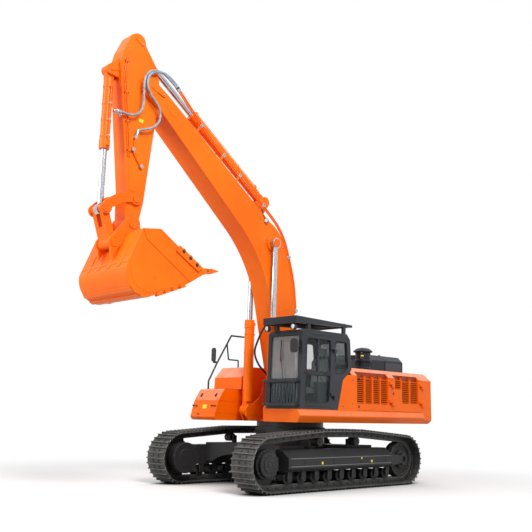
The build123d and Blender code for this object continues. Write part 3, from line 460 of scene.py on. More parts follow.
def facing(at, out, up=(0, 0, 1)):
    """A frame on a face: first axis to the side, second up the face, third out of it."""
    w = Vector(out).normalized()
    u = Vector(up).cross(w).normalized()
    return Matrix.Translation(at) @ Matrix((u, w.cross(u), w)).transposed().to_4x4()


side_view = Matrix(((1, 0, 0, 0), (0, 0, 1, 0), (0, 1, 0, 0), (0, 0, 0, 1)))


def box_outline(u0, u1, v0, v1):
    return [(u0, v0), (u1, v0), (u1, v1), (u0, v1)]


def soft_box(half_u, half_v, radius):
    """A centred box outline with rounded corners."""
    return rounded(box_outline(-half_u, half_u, -half_v, half_v), radius)


class Piece:
    """A detailed piece that rides on a body, drawn in millimetres in the frame of what carries it."""

    def __init__(self, name, body, place):
        self.name = name
        self.body = body
        self.place = place
        self.shape = bmesh.new()
        self.finishes = []
        self.slot = 0

    def of(self, finish):
        if finish not in self.finishes:
            self.finishes.append(finish)
        self.slot = self.finishes.index(finish)
        return self

    def skin(self, rings, loop=False):
        """Faces between rings of equal count, closed at both ends unless the rings make a loop."""
        made = [[self.shape.verts.new(p) for p in ring] for ring in rings]
        count = len(made[0])
        pairs = list(zip(made, made[1:]))
        if loop:
            pairs.append((made[-1], made[0]))
        faces = [(a[i], a[(i + 1) % count], b[(i + 1) % count], b[i]) for a, b in pairs for i in range(count)]
        if not loop:
            faces += [made[0], made[-1]]
        for face in faces:
            self.shape.faces.new(face).material_index = self.slot

    def plate(self, frame, outline, w0, w1, edge=3.0):
        """An outline drawn in a frame's first two axes, thick from w0 to w1, with softened edges."""
        small = inset(outline, edge)
        step = edge if w1 > w0 else -edge
        rings = [(small, w0), (outline, w0 + step), (outline, w1 - step), (small, w1)]
        self.skin([[frame @ Vector((p[0], p[1], w)) for p in line] for line, w in rings])

    def block(self, x0, x1, y0, y1, z0, z1, edge=3.0):
        self.plate(side_view, box_outline(x0, x1, z0, z1), y0, y1, edge)

    def turned(self, frame, profile, sides=28, hollow=False):
        """A profile of (distance, radius) turned about a frame's third axis, as a disc or a hollow ring."""
        self.skin([[frame @ Vector((r * cos(2 * pi * k / sides), r * sin(2 * pi * k / sides), w))
                    for k in range(sides)] for w, r in profile], hollow)

    def band(self, frame, inner, outer, width, sides=40):
        """A flat ring round a frame's third axis."""
        self.turned(frame, [(0, inner), (0, outer), (width, outer), (width, inner)], sides, True)

    def bolt(self, frame, r):
        """A hexagon head on its washer."""
        self.turned(frame, [(0, r * 1.5), (r * 0.25, r * 1.5), (r * 0.3, r * 1.4)], 14)
        self.turned(frame, [(r * 0.3, r), (r * 0.85, r), (r * 1.0, r * 0.82)], 6)

    def cap(self, frame, r, bolts=2, turn=0.0):
        """A round pin cover with a raised rim and its bolts."""
        self.turned(frame, [(0, r), (10, r), (15, r - 5), (15, r * 0.86), (11, r * 0.82), (11, r * 0.2)], 36)
        for k in range(bolts):
            a = turn + 2 * pi * k / bolts
            reach = r * 0.52 if bolts > 1 else 0
            self.bolt(frame @ Matrix.Translation((reach * cos(a), reach * sin(a), 11)), 11)

    def tube(self, path, r, sides=12, closed=False):
        """A round bar along a line of points."""
        path = [Vector(p) for p in path]
        count = len(path)
        across = None
        rings = []
        for i, p in enumerate(path):
            a = path[i - 1] if closed or i else p
            b = path[(i + 1) % count] if closed or i < count - 1 else p
            run = (b - a).normalized()
            if across is None:
                across = run.orthogonal()
            across = (across - run * across.dot(run)).normalized()
            square = run.cross(across)
            rings.append([p + (across * cos(2 * pi * k / sides) + square * sin(2 * pi * k / sides)) * r
                          for k in range(sides)])
        self.skin(rings, closed)

    def done(self):
        bmesh.ops.recalc_face_normals(self.shape, faces=self.shape.faces)
        mesh = bpy.data.meshes.new(self.name)
        self.shape.to_mesh(mesh)
        self.shape.free()
        mesh.transform(self.place)
        for finish in self.finishes:
            mesh.materials.append(finish)
        mesh.polygons.foreach_set("use_smooth", [True] * len(mesh.polygons))
        mesh.set_sharp_from_angle(angle=radians(32))
        obj = bpy.data.objects.new(self.name, mesh)
        bpy.context.collection.objects.link(obj)
        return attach(obj, self.body)


# Undercarriage

wheels = [(wheel_x, wheel_z, 504), (600, 979, 205), (-600, 979, 205), (-wheel_x, wheel_z, 504)]
shoe_pitch = 216


def belt_runs():
    """The shoes' base line: for each wheel an arc, then the straight run to the next wheel."""
    leans = []
    for i, (x, z, r) in enumerate(wheels):
        to_x, to_z, to_r = wheels[(i + 1) % 4]
        leans.append(atan2(to_z - z, to_x - x) - acos((r - to_r) / hypot(to_x - x, to_z - z)))
    runs = []
    for i, (x, z, r) in enumerate(wheels):
        to_x, to_z, to_r = wheels[(i + 1) % 4]
        gap = hypot(to_x - x, to_z - z)
        sweep = (leans[i] - leans[i - 1]) % (2 * pi)
        runs.append((r * sweep, True, x, z, r, leans[i - 1]))
        runs.append(((gap ** 2 - (r - to_r) ** 2) ** 0.5, False, x, z, r, leans[i]))
    return runs


def belt_spots(share, out):
    """For each shoe, the point at that share of its pitch and height over its base, and the way out."""
    runs = belt_runs()
    length = sum(run[0] for run in runs)
    count = round(length / shoe_pitch)
    for i in range(count):
        s = (i + share) * length / count
        for size, bends, x, z, r, lean in runs:
            if s <= size:
                break
            s -= size
        if bends:
            lean += s / r
            s = 0
        yield (x + (r + out) * cos(lean) - s * sin(lean), z + (r + out) * sin(lean) + s * cos(lean),
               Vector((cos(lean), 0, sin(lean))))


def track_fittings():
    for name, s in (("left", 1), ("right", -1)):
        middle = s * track_middle
        bolts = Piece("shoe_bolts_" + name, "undercarriage", machine).of(dark_bolt)
        for share in (0.35, 0.82):
            for x, z, out in belt_spots(share, 18):
                for y in (-92, 92):
                    head = facing((x, middle + y, z), out, (0, 1, 0))
                    bolts.turned(head, [(0, 19), (13, 19), (16, 15)], 6)
        for x, z, out in belt_spots(0.585, -58):
            for y in (-100, 100):
                pin = facing((x, middle + y, z), (0, y, 0), (1, 0, 0))
                bolts.turned(pin, [(0, 24), (8, 24), (11, 19)], 12)
        bolts.done()
        drive = Piece("drive_cover_" + name, "undercarriage", machine).of(dark_bolt)
        hub = facing((wheel_x, middle + s * 150, wheel_z), (0, s, 0))
        for count, reach, w, r in ((20, 266, 0, 12), (12, 196, 65, 11), (6, 92, 85, 9)):
            for k in range(count):
                a = 2 * pi * k / count
                drive.bolt(hub @ Matrix.Translation((reach * cos(a), reach * sin(a), w)), r)
        drive.turned(hub, [(84, 44), (92, 44), (96, 38), (96, 10)], 8)
        drive.of(frame_paint)
        drive.turned(hub, [(60, 242), (68, 242), (71, 236), (71, 218)], 48)
        drive.done()
        trim = Piece("track_frame_trim_" + name, "undercarriage", machine).of(painted_highlight_strip)
        face = middle + s * 250
        # Light grey strips along the frame's upper and lower edges: painted highlights.
        for z in (500, 655):
            trim.plate(side_view, box_outline(-1640, 1640, z, z + 16), face - s * 2, face + s * 9, 3)
        trim.of(frame_paint)
        for x in (-1450, -560, 330, 1220):
            trim.plate(side_view, box_outline(x, x + 14, 516, 655), face - s * 2, face + s * 7, 2.5)
        trim.of(dark_bolt)
        for i in range(9):
            x = -1590 + 397.5 * i
            for u in (-38, 38):
                trim.bolt(facing((x + u, middle + s * 180, 372), (0, s, 0)), 11)
        trim.of(yellow_label)
        for x, z in ((700, 560), (-574, 640), (-933, 560)):
            label = rounded(box_outline(x - 26, x + 26, z - 26, z + 26), 5)
            trim.plate(side_view, label, face - s, face + s * 2, 0.6)
        trim.done()
    ring = Piece("bearing_bolts", "undercarriage", machine).of(dark_bolt)
    count = 40
    for k in range(count):
        a = 2 * pi * k / count
        ring.bolt(facing((bearing_r * cos(a), bearing_r * sin(a), bearing_top), (0, 0, 1), (1, 0, 0)), 13)
    ring.done()


track_fittings()


# Machine house

def handle(piece, frame, width, reach, r):
    """A bent bar handle standing on a face."""
    half = width / 2
    bar = [(-half, 0, -2), (-half, 0, reach), (half, 0, reach), (half, 0, -2)]
    piece.tube([frame @ p for p in rounded(bar, 22, False)], r)


def tool_box_fittings():
    box = Piece("tool_box_fittings", "upper", machine).of(black_plastic)
    brow, front = (260, 0, 170), (360, 0, 110)
    for y in (-1330, -830):
        latch = facing((1531, y, 1921), brow)
        box.plate(latch, soft_box(26, 46, 12), -1, 12)
        box.plate(latch, rounded(box_outline(-17, 17, -38, 20), 8), 10, 24)
    for y in (-1400, -760):
        handle(box, facing((1648, y, 1675), front), 130, 52, 11)
    for y in (-1400, -1080, -760):
        box.plate(facing((1440, y, 2058), (0, 0, 1)), soft_box(40, 28, 8), 0, 14)
    box.of(yellow_label)
    box.plate(facing((1652, -1080, 1662), front), soft_box(70, 45, 8), -1, 1.5, 0.5)
    box.of(reflector)
    box.plate(facing((1703, -1230, 1497), front), soft_box(55, 18, 6), -1, 7)
    box.of(dark_bolt)
    for y in (-1440, -1255, -905, -720):
        box.bolt(facing((1589, y, 1832), brow), 9)
    box.done()
    tread = Piece("tread_plate", "upper", machine).of(frame_paint)
    for i in range(7):
        x = 850 + 78 * i
        tread.block(x, x + 26, -1420, -740, 2058, 2070, 3)
    tread.done()


def left_side_fittings():
    doors = (("door_left_front", ((-640, 2362), (-640, 1730))), ("door_left_rear", ((-1925, 2060),)))
    for body, spots in doors:
        trim = Piece(body + "_latches", body, machine)
        for x, z in spots:
            trim.of(black_plastic)
            seat = facing((x, house_side, z), (0, 1, 0))
            trim.turned(seat, [(-2, 30), (7, 30), (10, 26), (10, 16), (5, 14)], 28)
            trim.of(bolt_steel)
            trim.turned(seat, [(4, 11), (9, 11), (11, 8)], 16)
        trim.done()
    seams = Piece("house_fittings", "upper", machine).of(dark_bolt)
    for x, z in ((-420, 1780), (-420, 2290), (-90, 1720)):
        seams.bolt(facing((x, house_side, z), (0, 1, 0)), 9)
    for y in (-1100, -400, 400, 1100):
        seams.bolt(facing((-3330, y, 2580), (0, 0, 1), (1, 0, 0)), 20)
    seams.of(reflector)
    for s in (-1, 1):
        seams.plate(facing((-3680, s * 900, 1560), (-1, s * 0.22, 0)), soft_box(110, 30, 10), -6, 9)
    seams.of(bolt_steel)
    seams.bolt(facing((330, -1050, 2640), (0, 0, 1), (1, 0, 0)), 16)
    seams.done()


def hood_fittings():
    hood = Piece("hood_fittings", "hood", machine).of(perforated)
    hood.plate(facing((-2690, 950, 2722), (0, 1, 0)), soft_box(330, 105, 20), -2, 5)
    hood.plate(facing((-2690, 885, 2925), (0, 1, 1)), soft_box(330, 72, 20), -2, 5)
    hood.plate(facing((-1760, 0, 2760), (1, 0, 0)), soft_box(640, 110, 20), -2, 5)
    hood.of(hood_paint)
    for x in (-3010, -2340, -1800):
        hood.plate(facing((x, 950, 2735), (0, 1, 0)), box_outline(-9, 9, -125, 125), -2, 8)
    for x in (-2050, -2620):
        eye = [(x - 45, 560, 2985), (x - 30, 560, 3036), (x + 30, 560, 3036), (x + 45, 560, 2985)]
        hood.tube(rounded(eye, 30, False), 11)
    hood.of(dark_bolt)
    for x in (-2985, -2395):
        for z in (2630, 2815):
            hood.bolt(facing((x, 950, z), (0, 1, 0)), 8)
    hood.done()
    stack = Piece("stack_fittings", "upper", machine).of(hood_paint)
    slats, slat_r = 16, 164
    for k in range(slats):
        a = 2 * pi * k / slats
        slat = facing((stack_x + slat_r * cos(a), stack_y + slat_r * sin(a), 2707), (cos(a), sin(a), 0))
        stack.plate(slat, box_outline(-5, 5, -48, 48), -2, 12, 2)
    for z in (2842, 2965):
        stack.band(facing((stack_x, stack_y, z), (0, 0, 1), (1, 0, 0)), 176, 182, 16, 48)
    stack.of(bolt_steel)
    for z in (2850, 2973):
        stack.block(-1190, -1160, 1130, 1170, z - 9, z + 9, 4)
    stack.of(yellow_label)
    rings = []
    for k in range(8):
        a = radians(22 + 3 * k)
        rings.append([(stack_x + r * cos(a), stack_y + r * sin(a), z)
                      for r, z in ((177, 2890), (180, 2890), (180, 2926), (177, 2926))])
    stack.skin(rings)
    stack.done()


tool_box_fittings()
left_side_fittings()
hood_fittings()


# Cab

def level(k):
    """A height in the cab, as a share of the way from its floor to its roof."""
    return 1640 + 1660 * k


upper_window = [(1095, level(0.476)), (1078, level(0.892)), (320, level(0.892)), (320, level(0.476))]
lower_window = [(1112, level(0.09)), (1100, level(0.428)), (325, level(0.428)), (375, level(0.09))]
quarter_window = [(170, level(0.47)), (170, level(0.892)), (-210, level(0.892)), (-270, level(0.555)),
                  (-100, level(0.47))]


def gasket(piece, corners):
    """A rubber bead round a window."""
    piece.tube(rounded(corners, 62, True, 8), 9, 8, True)


def screen_x(z):
    """The cab's front face."""
    return 1270 - 50 * (z - 1640) / 1600


def cab_fittings():
    seals = Piece("window_seals", "upper", machine).of(rubber)
    for low, high in ((0.072, 0.325), (0.373, 0.922)):
        z0, z1 = level(low), level(high)
        gasket(seals, [(screen_x(z), y, z) for y, z in ((590, z0), (1410, z0), (1410, z1), (590, z1))])
    for y in (cab_right, house_side):
        gasket(seals, [(x, y, z) for x, z in quarter_window])
    gasket(seals, [(x, cab_right, z) for x, z in upper_window])
    seals.done()
    door = Piece("cab_door_fittings", "cab_door", machine).of(rubber)
    for corners in (upper_window, lower_window):
        gasket(door, [(x, house_side, z) for x, z in corners])
    door.of(black_plastic)
    door.plate(side_view, rounded(box_outline(1000, 1140, 2368, 2414), 20), 1499, 1514)
    door.plate(side_view, rounded(box_outline(1015, 1120, 2380, 2402), 9), 1512, 1534)
    door.plate(side_view, rounded(box_outline(930, 1080, 1722, 1768), 23), 1499, 1512)
    handle(door, facing((400, house_side, 2395), (0, 1, 0)), 210, 44, 11)
    door.of(bolt_steel)
    door.turned(facing((1082, 1514, 2391), (0, 1, 0)), [(0, 9), (3, 9), (4, 6)], 14)
    door.done()
    wipers = Piece("wipers", "upper", machine).of(black_plastic)
    out = (1, 0, 0.03)
    for y, z, lean, reach, half in ((1000, 2235, 0.35, 620, 230), (940, 2205, -0.55, -300, 100)):
        to_y, to_z = y - lean * abs(reach) * 0.5, z + reach
        wipers.turned(facing((screen_x(z) - 2, y, z), out), [(0, 26), (20, 26), (26, 20)], 20)
        wipers.tube([(screen_x(z) + 22, y, z), (screen_x(to_z) + 16, to_y, to_z)], 7, 8)
        blade = facing((screen_x(to_z) + 2, to_y, to_z), out)
        wipers.plate(blade, box_outline(-8, 8, -half, half), -6, 12, 2)
    wipers.done()
    lamps = Piece("cab_lamp_lenses", "upper", machine)
    for y in (610, 1390):
        face = facing((1400, y, 3330), (1, 0, 0))
        lamps.of(black_plastic).turned(face, [(-3, 64), (7, 64), (10, 59), (10, 53), (3, 53)], 32)
        lamps.of(lamp_lens).turned(face, [(2, 52), (7, 46), (12, 28), (13, 5)], 32)
    lamps.done()
    glass = Piece("mirror_faces", "upper", machine).of(mirror_face)
    glass.plate(facing((1340, 1390, level(0.78)), (-1, 0, 0)), soft_box(83, 133, 62), -1, 3, 1)
    glass.plate(facing((985, -1590, 2890), (-1, 0, 0)), soft_box(54, 154, 50), -1, 3, 1)
    glass.of(dark_bolt)
    glass.bolt(facing((1374, 1390, level(0.78)), (1, 0, 0)), 15)
    glass.bolt(facing((1019, -1590, 2890), (1, 0, 0)), 12)
    for z in (level(0.036) + 25, level(0.331) + 25):
        for y in (565, 1415):
            glass.bolt(facing((1425, y, z), (1, 0, 0)), 11)
    glass.done()


def cushion(name, frame, wide, high, thick):
    """A crowned pad with sides that pull in between its corners and a piped seam."""
    def outline(by, pull):
        line = []
        for u, v in rounded(box_outline(-wide, wide, -high, high), 70, True, 7):
            line.append(Vector((u, v)) * (1 - pull * (1 - abs(u * v) / (wide * high))))
        return inset(line, by)
    pad = Piece(name, "upper", machine).of(seat_cloth)
    rings = [(-1, 26, 0.0), (-0.86, 5, 0.02), (-0.3, 0, 0.045), (0.3, 0, 0.045), (0.8, 7, 0.02),
             (1.0, 34, 0.0), (1.1, 90, 0.0)]
    pad.skin([[frame @ Vector((p[0], p[1], w * thick)) for p in outline(by, pull)]
              for w, by, pull in rings])
    pad.of(black_plastic)
    pad.tube([frame @ Vector((p[0], p[1], thick * 0.8)) for p in outline(4, 0.02)], 6, 8, True)
    return pad.done()


def chair_pads():
    seat, top = level(0.283), level(0.675)
    base = Piece("chair_base", "upper", machine).of(black_plastic)
    base.block(130, 530, 800, 1200, 1700, seat - 128, 14)
    for i in range(5):
        base.block(124, 536, 794, 1206, 1740 + 46 * i, 1762 + 46 * i, 8)
    for y in (940, 1060):
        base.tube([(62, y, top - 40), (50, y, level(0.693) + 40)], 11)
    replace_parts(base.done(), "chair")
    cushion("chair_seat", facing((335, 1000, seat - 66), (0, 0, 1), (1, 0, 0)), 260, 265, 62)
    cushion("chair_back", facing((85, 1000, (seat + top) / 2), (650, 0, 100)), 240, 322, 56)
    cushion("chair_head", facing((45, 1000, level(0.693) + 95), (10, 0, 1)), 140, 92, 46)


cab_fittings()
chair_pads()


# Boom, arm and bucket

pipe_y, pipe_rises = 240, (0, 48)
pipe_line = [(1180, 1052), (1500, 1245), (1850, 1424), (2300, 1577), (2760, 1702), (3100, 1706), (3450, 1618),
             (5119, 1052), (5900, 830), (6846, 645)]
pipe_clips = [(1266, 1050, 0.51, 52), (2393, 1549, 0.28, 52), (3693, 1395, -0.33, 150),
              (4552, 1100, -0.33, 152), (5119, 906, -0.33, 150), (5900, 638, -0.28, 190)]


def oblong(p, q, r, steps=10):
    """A keeper's outline: two round ends and straight sides."""
    lean = atan2(q[1] - p[1], q[0] - p[0])
    line = []
    for centre, start in ((q, lean - pi / 2), (p, lean + pi / 2)):
        line += [(centre[0] + r * cos(start + pi * k / steps), centre[1] + r * sin(start + pi * k / steps))
                 for k in range(steps + 1)]
    return line


def keeper(piece, p, q, r, face, s):
    """A flat bar that holds a pin, with its bolt."""
    piece.of(orange_paint).plate(side_view, oblong(p, q, r), face - s, face + s * 16, 4)
    piece.of(bolt_steel).bolt(facing((q[0], face + s * 16, q[1]), (0, s, 0)), 13)


def boom_fittings():
    pipes = Piece("boom_pipes", "boom", on_boom)
    union = [(-60, 19), (-55, 26), (10, 26), (14, 22), (40, 22), (44, 26), (96, 26), (100, 22)]
    for rise in pipe_rises:
        line = [Vector((x, pipe_y, z + rise)) for x, z in pipe_line]
        pipes.of(orange_paint).tube(rounded(line, 400, False, 6), 17)
        end = facing(line[-1], line[-1] - line[-2], (0, 1, 0))
        pipes.of(pipe_steel).turned(end, union, 18)
        pipes.of(dark_bolt).turned(end, [(14, 25), (38, 25)], 18)
    for x, z, lean, stand in pipe_clips:
        clip = Matrix.Translation((x, 0, z)) @ Matrix.Rotation(-lean, 4, "Y") @ side_view
        pipes.of(orange_paint).plate(clip, rounded(box_outline(-26, 26, -6, stand - 22), 5), 222, 252)
        pipes.of(pipe_steel).plate(clip, rounded(box_outline(-34, 34, stand - 26, stand + 74), 8), 216, 264)
        for rise in (-8, 56):
            seat = facing(clip @ Vector((0, stand + rise, 264)), (0, 1, 0))
            pipes.of(bolt_steel).bolt(seat, 9)
    pipes.done()
    trim = Piece("boom_fittings", "boom", on_boom)
    for s in (-1, 1):
        face = s * boom_side
        trim.of(orange_paint)
        boss = [(-1, 168), (9, 168), (13, 162), (13, 118), (9, 112), (9, 40)]
        trim.turned(facing((boom_tip_x, face, 0), (0, s, 0)), boss, 48)
        doubler = rounded([(6730, 290), (6640, 140), (6360, 195), (6390, 350)], 50)
        trim.plate(side_view, doubler, face - s, face + s * 9)
        for line in ([(1560, 402), (1345, 1078)], [(6205, 62), (6300, 470)], [(3640, 672), (3760, 1350)]):
            trim.tube([(x, face, z) for x, z in line], 6, 8)
        keeper(trim, (7085, 40), (6850, 205), 44, face + s * 8, s)
        keeper(trim, arm_cylinder_foot, (3640, 1600), 40, s * 126, s)
        for x, z in ((2640, 1560), (3120, 1140), (2790, 1010)):
            trim.bolt(facing((x, face, z), (0, s, 0)), 11)
    trim.of(orange_paint)
    for x, z in ((1560, 402), (3640, 672), (5400, 258)):
        trim.tube([(x, -250, z - 3), (x, 250, z - 3)], 6, 8)
    trim.done()
    lamp = Piece("boom_lamps", "boom", on_boom).of(black_plastic)
    beam = facing((3431, 306, 1383), (0.407, 0.35, -0.817), (0, 1, 0))
    lamp.turned(beam, [(-62, 26), (-56, 38), (-8, 54), (6, 54), (9, 49), (4, 47)], 28)
    lamp.block(3409, 3453, 258, 296, 1395, 1435, 4)
    lamp.of(lamp_lens).turned(beam, [(3, 47), (9, 40), (13, 22), (14, 4)], 28)
    wire = [(3441, 285, 1423), (3551, 275, 1403), (3691, 268, 1453), (3761, 268, 1423)]
    lamp.of(rubber).tube(rounded(wire, 70, False), 6, 8)
    lamp.done()


arm_edge = [(-1000, 300), (-1040, 450), (-960, 560), (-560, 700), (-250, 740), (100, 660), (2250, 215),
            (2330, 206), (2330, -200), (500, -255), (150, -250), (-250, -215), (-470, -140), (-800, 160)]


def arm_fittings():
    trim = Piece("arm_fittings", "arm", on_arm)
    for s in (-1, 1):
        face = s * arm_side
        trim.of(orange_paint)
        seam = rounded(inset(arm_edge, 72), 120, True, 6)
        trim.tube([(p.x, face, p.y) for p in seam], 6, 8, True)
        keeper(trim, (-925, 420), (-850, 285), 44, face, s)
        keeper(trim, bucket_cylinder_foot, (-150, 700), 36, s * 116, s)
        trim.of(orange_paint).cap(facing((rocker_pin[0], s * 246, rocker_pin[1]), (0, s, 0)), 86, 2, 0.6)
    trim.done()
    pipes = Piece("arm_pipes", "arm", on_arm)
    for drop in (96, 136):
        line = [(x, 203, z - drop) for x, z in ((-420, 700), (-150, 735), (100, 690), (1600, 382))]
        pipes.of(orange_paint).tube(rounded(line, 160, False, 6), 11, 10)
    for x, z in ((-330, 610), (320, 528), (900, 408), (1480, 290)):
        clip = rounded(box_outline(x - 16, x + 16, z - 52, z + 52), 8)
        pipes.of(orange_paint).plate(side_view, clip, arm_side, 220)
        for step in (-40, 40):
            pipes.of(dark_bolt).bolt(facing((x, 220, z + step), (0, 1, 0)), 9)
    pipes.of(yellow_label)
    pipes.plate(side_view, rounded(box_outline(730, 800, 38, 140), 6), 183, 186, 0.6)
    line = [(1090, 232, 170), (1290, 222, 196), (1470, 214, 200), (1600, 210, 90), (1740, 205, -50)]
    pipes.of(orange_paint).tube(rounded(line, 90, False, 6), 15)
    pipes.of(pipe_steel)
    ring = facing((1030, 236, 164), (0.99, 0, 0.1), (0, 1, 0))
    pipes.turned(ring, [(-24, 26), (20, 26), (26, 36), (70, 36), (76, 26), (110, 22)], 18)
    for x, z, lean in ((1165, 184, 0.1), (1435, 204, 0.05), (1719, -28, -0.8)):
        seat = Matrix.Translation((x, 0, z)) @ Matrix.Rotation(-lean, 4, "Y") @ side_view
        pipes.plate(seat, soft_box(36, 32, 8), 183, 246)
    stub = [(786, 110, 505), (786, 110, 715), (786, 236, 715), (786, 236, 600)]
    pipes.tube(rounded(stub, 55, False, 8), 20)
    ring = facing((786, 236, 668), (0, 0, -1), (0, 1, 0))
    pipes.turned(ring, [(-14, 22), (-10, 34), (34, 34), (40, 28), (84, 28), (88, 22)], 18)
    pipes.turned(facing((786, 110, 505), (0, 0, 1), (0, 1, 0)), [(-4, 44), (20, 44), (26, 38), (26, 24)], 24)
    pipes.done()
    link = Piece("rocker_caps", "rocker", on_rocker).of(digging_paint)
    reach = (on_rocker.inverted() @ rocker_end).x
    for s in (-1, 1):
        link.cap(facing((reach, s * 240, 0), (0, s, 0)), 92, 2, 0.4)
        link.tube([(150, s * 240, 95), (reach / 2, s * 240, 128), (reach - 150, s * 240, 95)], 5, 8)
    link.done()


def bucket_fittings():
    trim = Piece("bucket_fittings", "bucket", on_bucket)
    pin = on_bucket.inverted() @ pin_in(on_arm, link_pin)
    for s in (-1, 1):
        trim.of(digging_paint).cap(facing((pin.x, s * 250, pin.z), (0, s, 0)), 96, 2, 0.9)
        trim.cap(facing((0, s * 256, 0), (0, s, 0)), 100, 2, 1.1)
        trim.of(dark_bolt)
        for x, z in ((-1130, -720), (-960, -610), (-790, -505)):
            trim.bolt(facing((x, s * 862, z), (0, s, 0)), 24)
        trim.of(digging_paint)
        bead = rounded([(-1000, -1055), (-60, -1420), (290, -1290), (400, -980), (190, -440)], 160, False, 6)
        trim.tube([(p[0], s * bucket_side, p[1]) for p in bead], 7, 8)
        button = [(-1, 30), (4, 30), (6, 26), (6, 14), (2, 12)]
        for x, z in ((-420, -430), (-640, -800), (-180, -1080)):
            trim.turned(facing((x, s * bucket_side, z), (0, s, 0)), button, 20)
    back = (535, 0, 225)
    for y in (-520, -175, 175, 520):
        trim.plate(facing((357, y, -712), back), soft_box(46, 255, 10), -3, 14, 4)
    trim.plate(facing((418, 0, -856), back), soft_box(800, 26, 8), -3, 9, 3)
    trim.of(dark_bolt)
    for i in range(5):
        y = -730 + 365 * i
        for s in (-1, 1):
            trim.turned(facing((-1470, y + s * 62, -776), (0, s, 0)), [(-1, 19), (6, 19), (9, 14)], 14)
    trim.done()


def cylinder_fittings():
    """A gland collar, port blocks and a clamped pipe on each barrel, and caps on the boom's pins."""
    barrels = (("boom", on_boom_barrel, (-cylinder_y, cylinder_y), 105, 2030, 330, 0),
               ("arm", on_arm_barrel, (0,), 115, 2640, 340, 0),
               ("bucket", on_bucket_barrel, (0,), 95, 1640, 300, -pi / 2))
    for name, place, rows, r, length, start, turn in barrels:
        trim = Piece(name + "_barrel_fittings", name + "_cylinder_barrel", place)
        for y in rows:
            trim.of(orange_paint)
            collar = [(0, r - 2), (8, r + 12), (120, r + 12), (128, r + 4), (180, r + 4), (186, r - 2)]
            trim.turned(facing((length - 190, y, 0), (1, 0, 0)), collar, 40, True)
            trim.band(facing((start + 40, y, 0), (1, 0, 0)), r - 2, r + 7, 34)
            out = r + 34
            spin = Matrix.Translation((0, y, 0)) @ Matrix.Rotation(turn, 4, "X")
            for x, low in ((start + 10, r - 14), (length - 120, r - 8)):
                trim.plate(spin @ side_view, box_outline(x, x + 74, low, out + 24), -30, 30, 5)
            trim.tube([spin @ Vector((start + 40, 0, out)), spin @ Vector((length - 80, 0, out))], 15)
            for k in (0.3, 0.55, 0.8):
                x = start + (length - start) * k
                clamp = box_outline(x + 4, x + 36, r + 2, out + 20)
                trim.of(orange_paint).band(facing((x, y, 0), (1, 0, 0)), r - 2, r + 6, 40)
                trim.of(pipe_steel).plate(spin @ side_view, clamp, -24, 24, 4)
        trim.done()
    caps = Piece("boom_rod_caps", "boom_cylinder_rod", on_boom_barrel).of(orange_paint)
    reach = (on_boom_barrel.inverted() @ boom_eye).x
    for s in (-1, 1):
        caps.cap(facing((reach, s * 440, 0), (0, s, 0)), 96, 2, 0.5)
    caps.done()
    feet = Piece("foot_caps", "upper", machine).of(orange_paint)
    for s in (-1, 1):
        feet.cap(facing((boom_cylinder_foot[0], s * 491, boom_cylinder_foot[1]), (0, s, 0)), 92, 1)
        feet.cap(facing((boom_foot[0], s * 311, boom_foot[1]), (0, s, 0)), 128, 3, 0.3)
    feet.done()


boom_fittings()
arm_fittings()
bucket_fittings()
cylinder_fittings()


# Hoses

def hose(name, points, diameter, finish):
    """A free hose from one body to the next: a smooth line drawn by its control points, in metres."""
    curve = bpy.data.curves.new(name, "CURVE")
    curve.dimensions = "3D"
    line = curve.splines.new("NURBS")
    line.points.add(len(points) - 1)
    for knot, p in zip(line.points, points):
        knot.co = (*p, 1.0)
    line.order_u = 3
    line.use_endpoint_u = True
    line.resolution_u = 10
    drawn = bpy.data.objects.new(name + "_line", curve)
    bpy.context.collection.objects.link(drawn)
    path = [v.co.copy() for v in drawn.to_mesh().vertices]
    drawn.to_mesh_clear()
    curve.bevel_depth = diameter / 2
    curve.bevel_resolution = 4
    curve.use_fill_caps = True
    mesh = bpy.data.meshes.new_from_object(drawn)
    bpy.data.objects.remove(drawn)
    mesh.materials.clear()
    mesh.materials.append(finish)
    obj = bpy.data.objects.new(name, mesh)
    bpy.context.collection.objects.link(obj)
    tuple(points[0])
    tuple(points[-1])
    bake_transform(obj)
    length = sum((b - a).length for a, b in zip(path, path[1:]))
    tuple(points[0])


def held_by(place, points):
    return [place @ Vector(p) for p in points]


front_loop = [(6930, 240, 629), (7110, 242, 560), (7300, 262, 430), (7410, 300, 150), (7330, 310, -90),
              (7130, 310, -245), (6900, 310, -390)]
front_end = [(600, 306, 178), (730, 294, 258), (786, 270, 400), (788, 245, 520), (786, 236, 640)]
rear_loop = [(6930, 240, 677), (7110, 242, 608), (7290, 258, 460), (7370, 305, 110), (7240, 318, -90),
             (7080, 318, -160), (6880, 318, -140), (6700, 318, -90), (6520, 318, -150), (6400, 318, -280),
             (6360, 315, -470), (6400, 280, -640), (6440, 240, -790)]
belly_start = [(1420, 120, 338), (1380, 120, 100)]
belly_end = [(1200, 125, 3120), (1320, 130, 2840), (1150, 130, 2560), (900, 130, 2400), (700, 130, 2150),
             (620, 130, 1800), (600, 130, 1412)]
arm_hose_d, boom_hose_d = 0.05, 0.045
hose("arm_hose_front", held_by(on_boom, front_loop) + held_by(on_arm, front_end), arm_hose_d,
     hose_sleeve)
hose("arm_hose_rear", held_by(on_boom, rear_loop), arm_hose_d, hose_sleeve)
hose("boom_hose", held_by(on_boom, belly_start) + held_by(machine, belly_end), boom_hose_d,
     rubber)


# Camera and studio

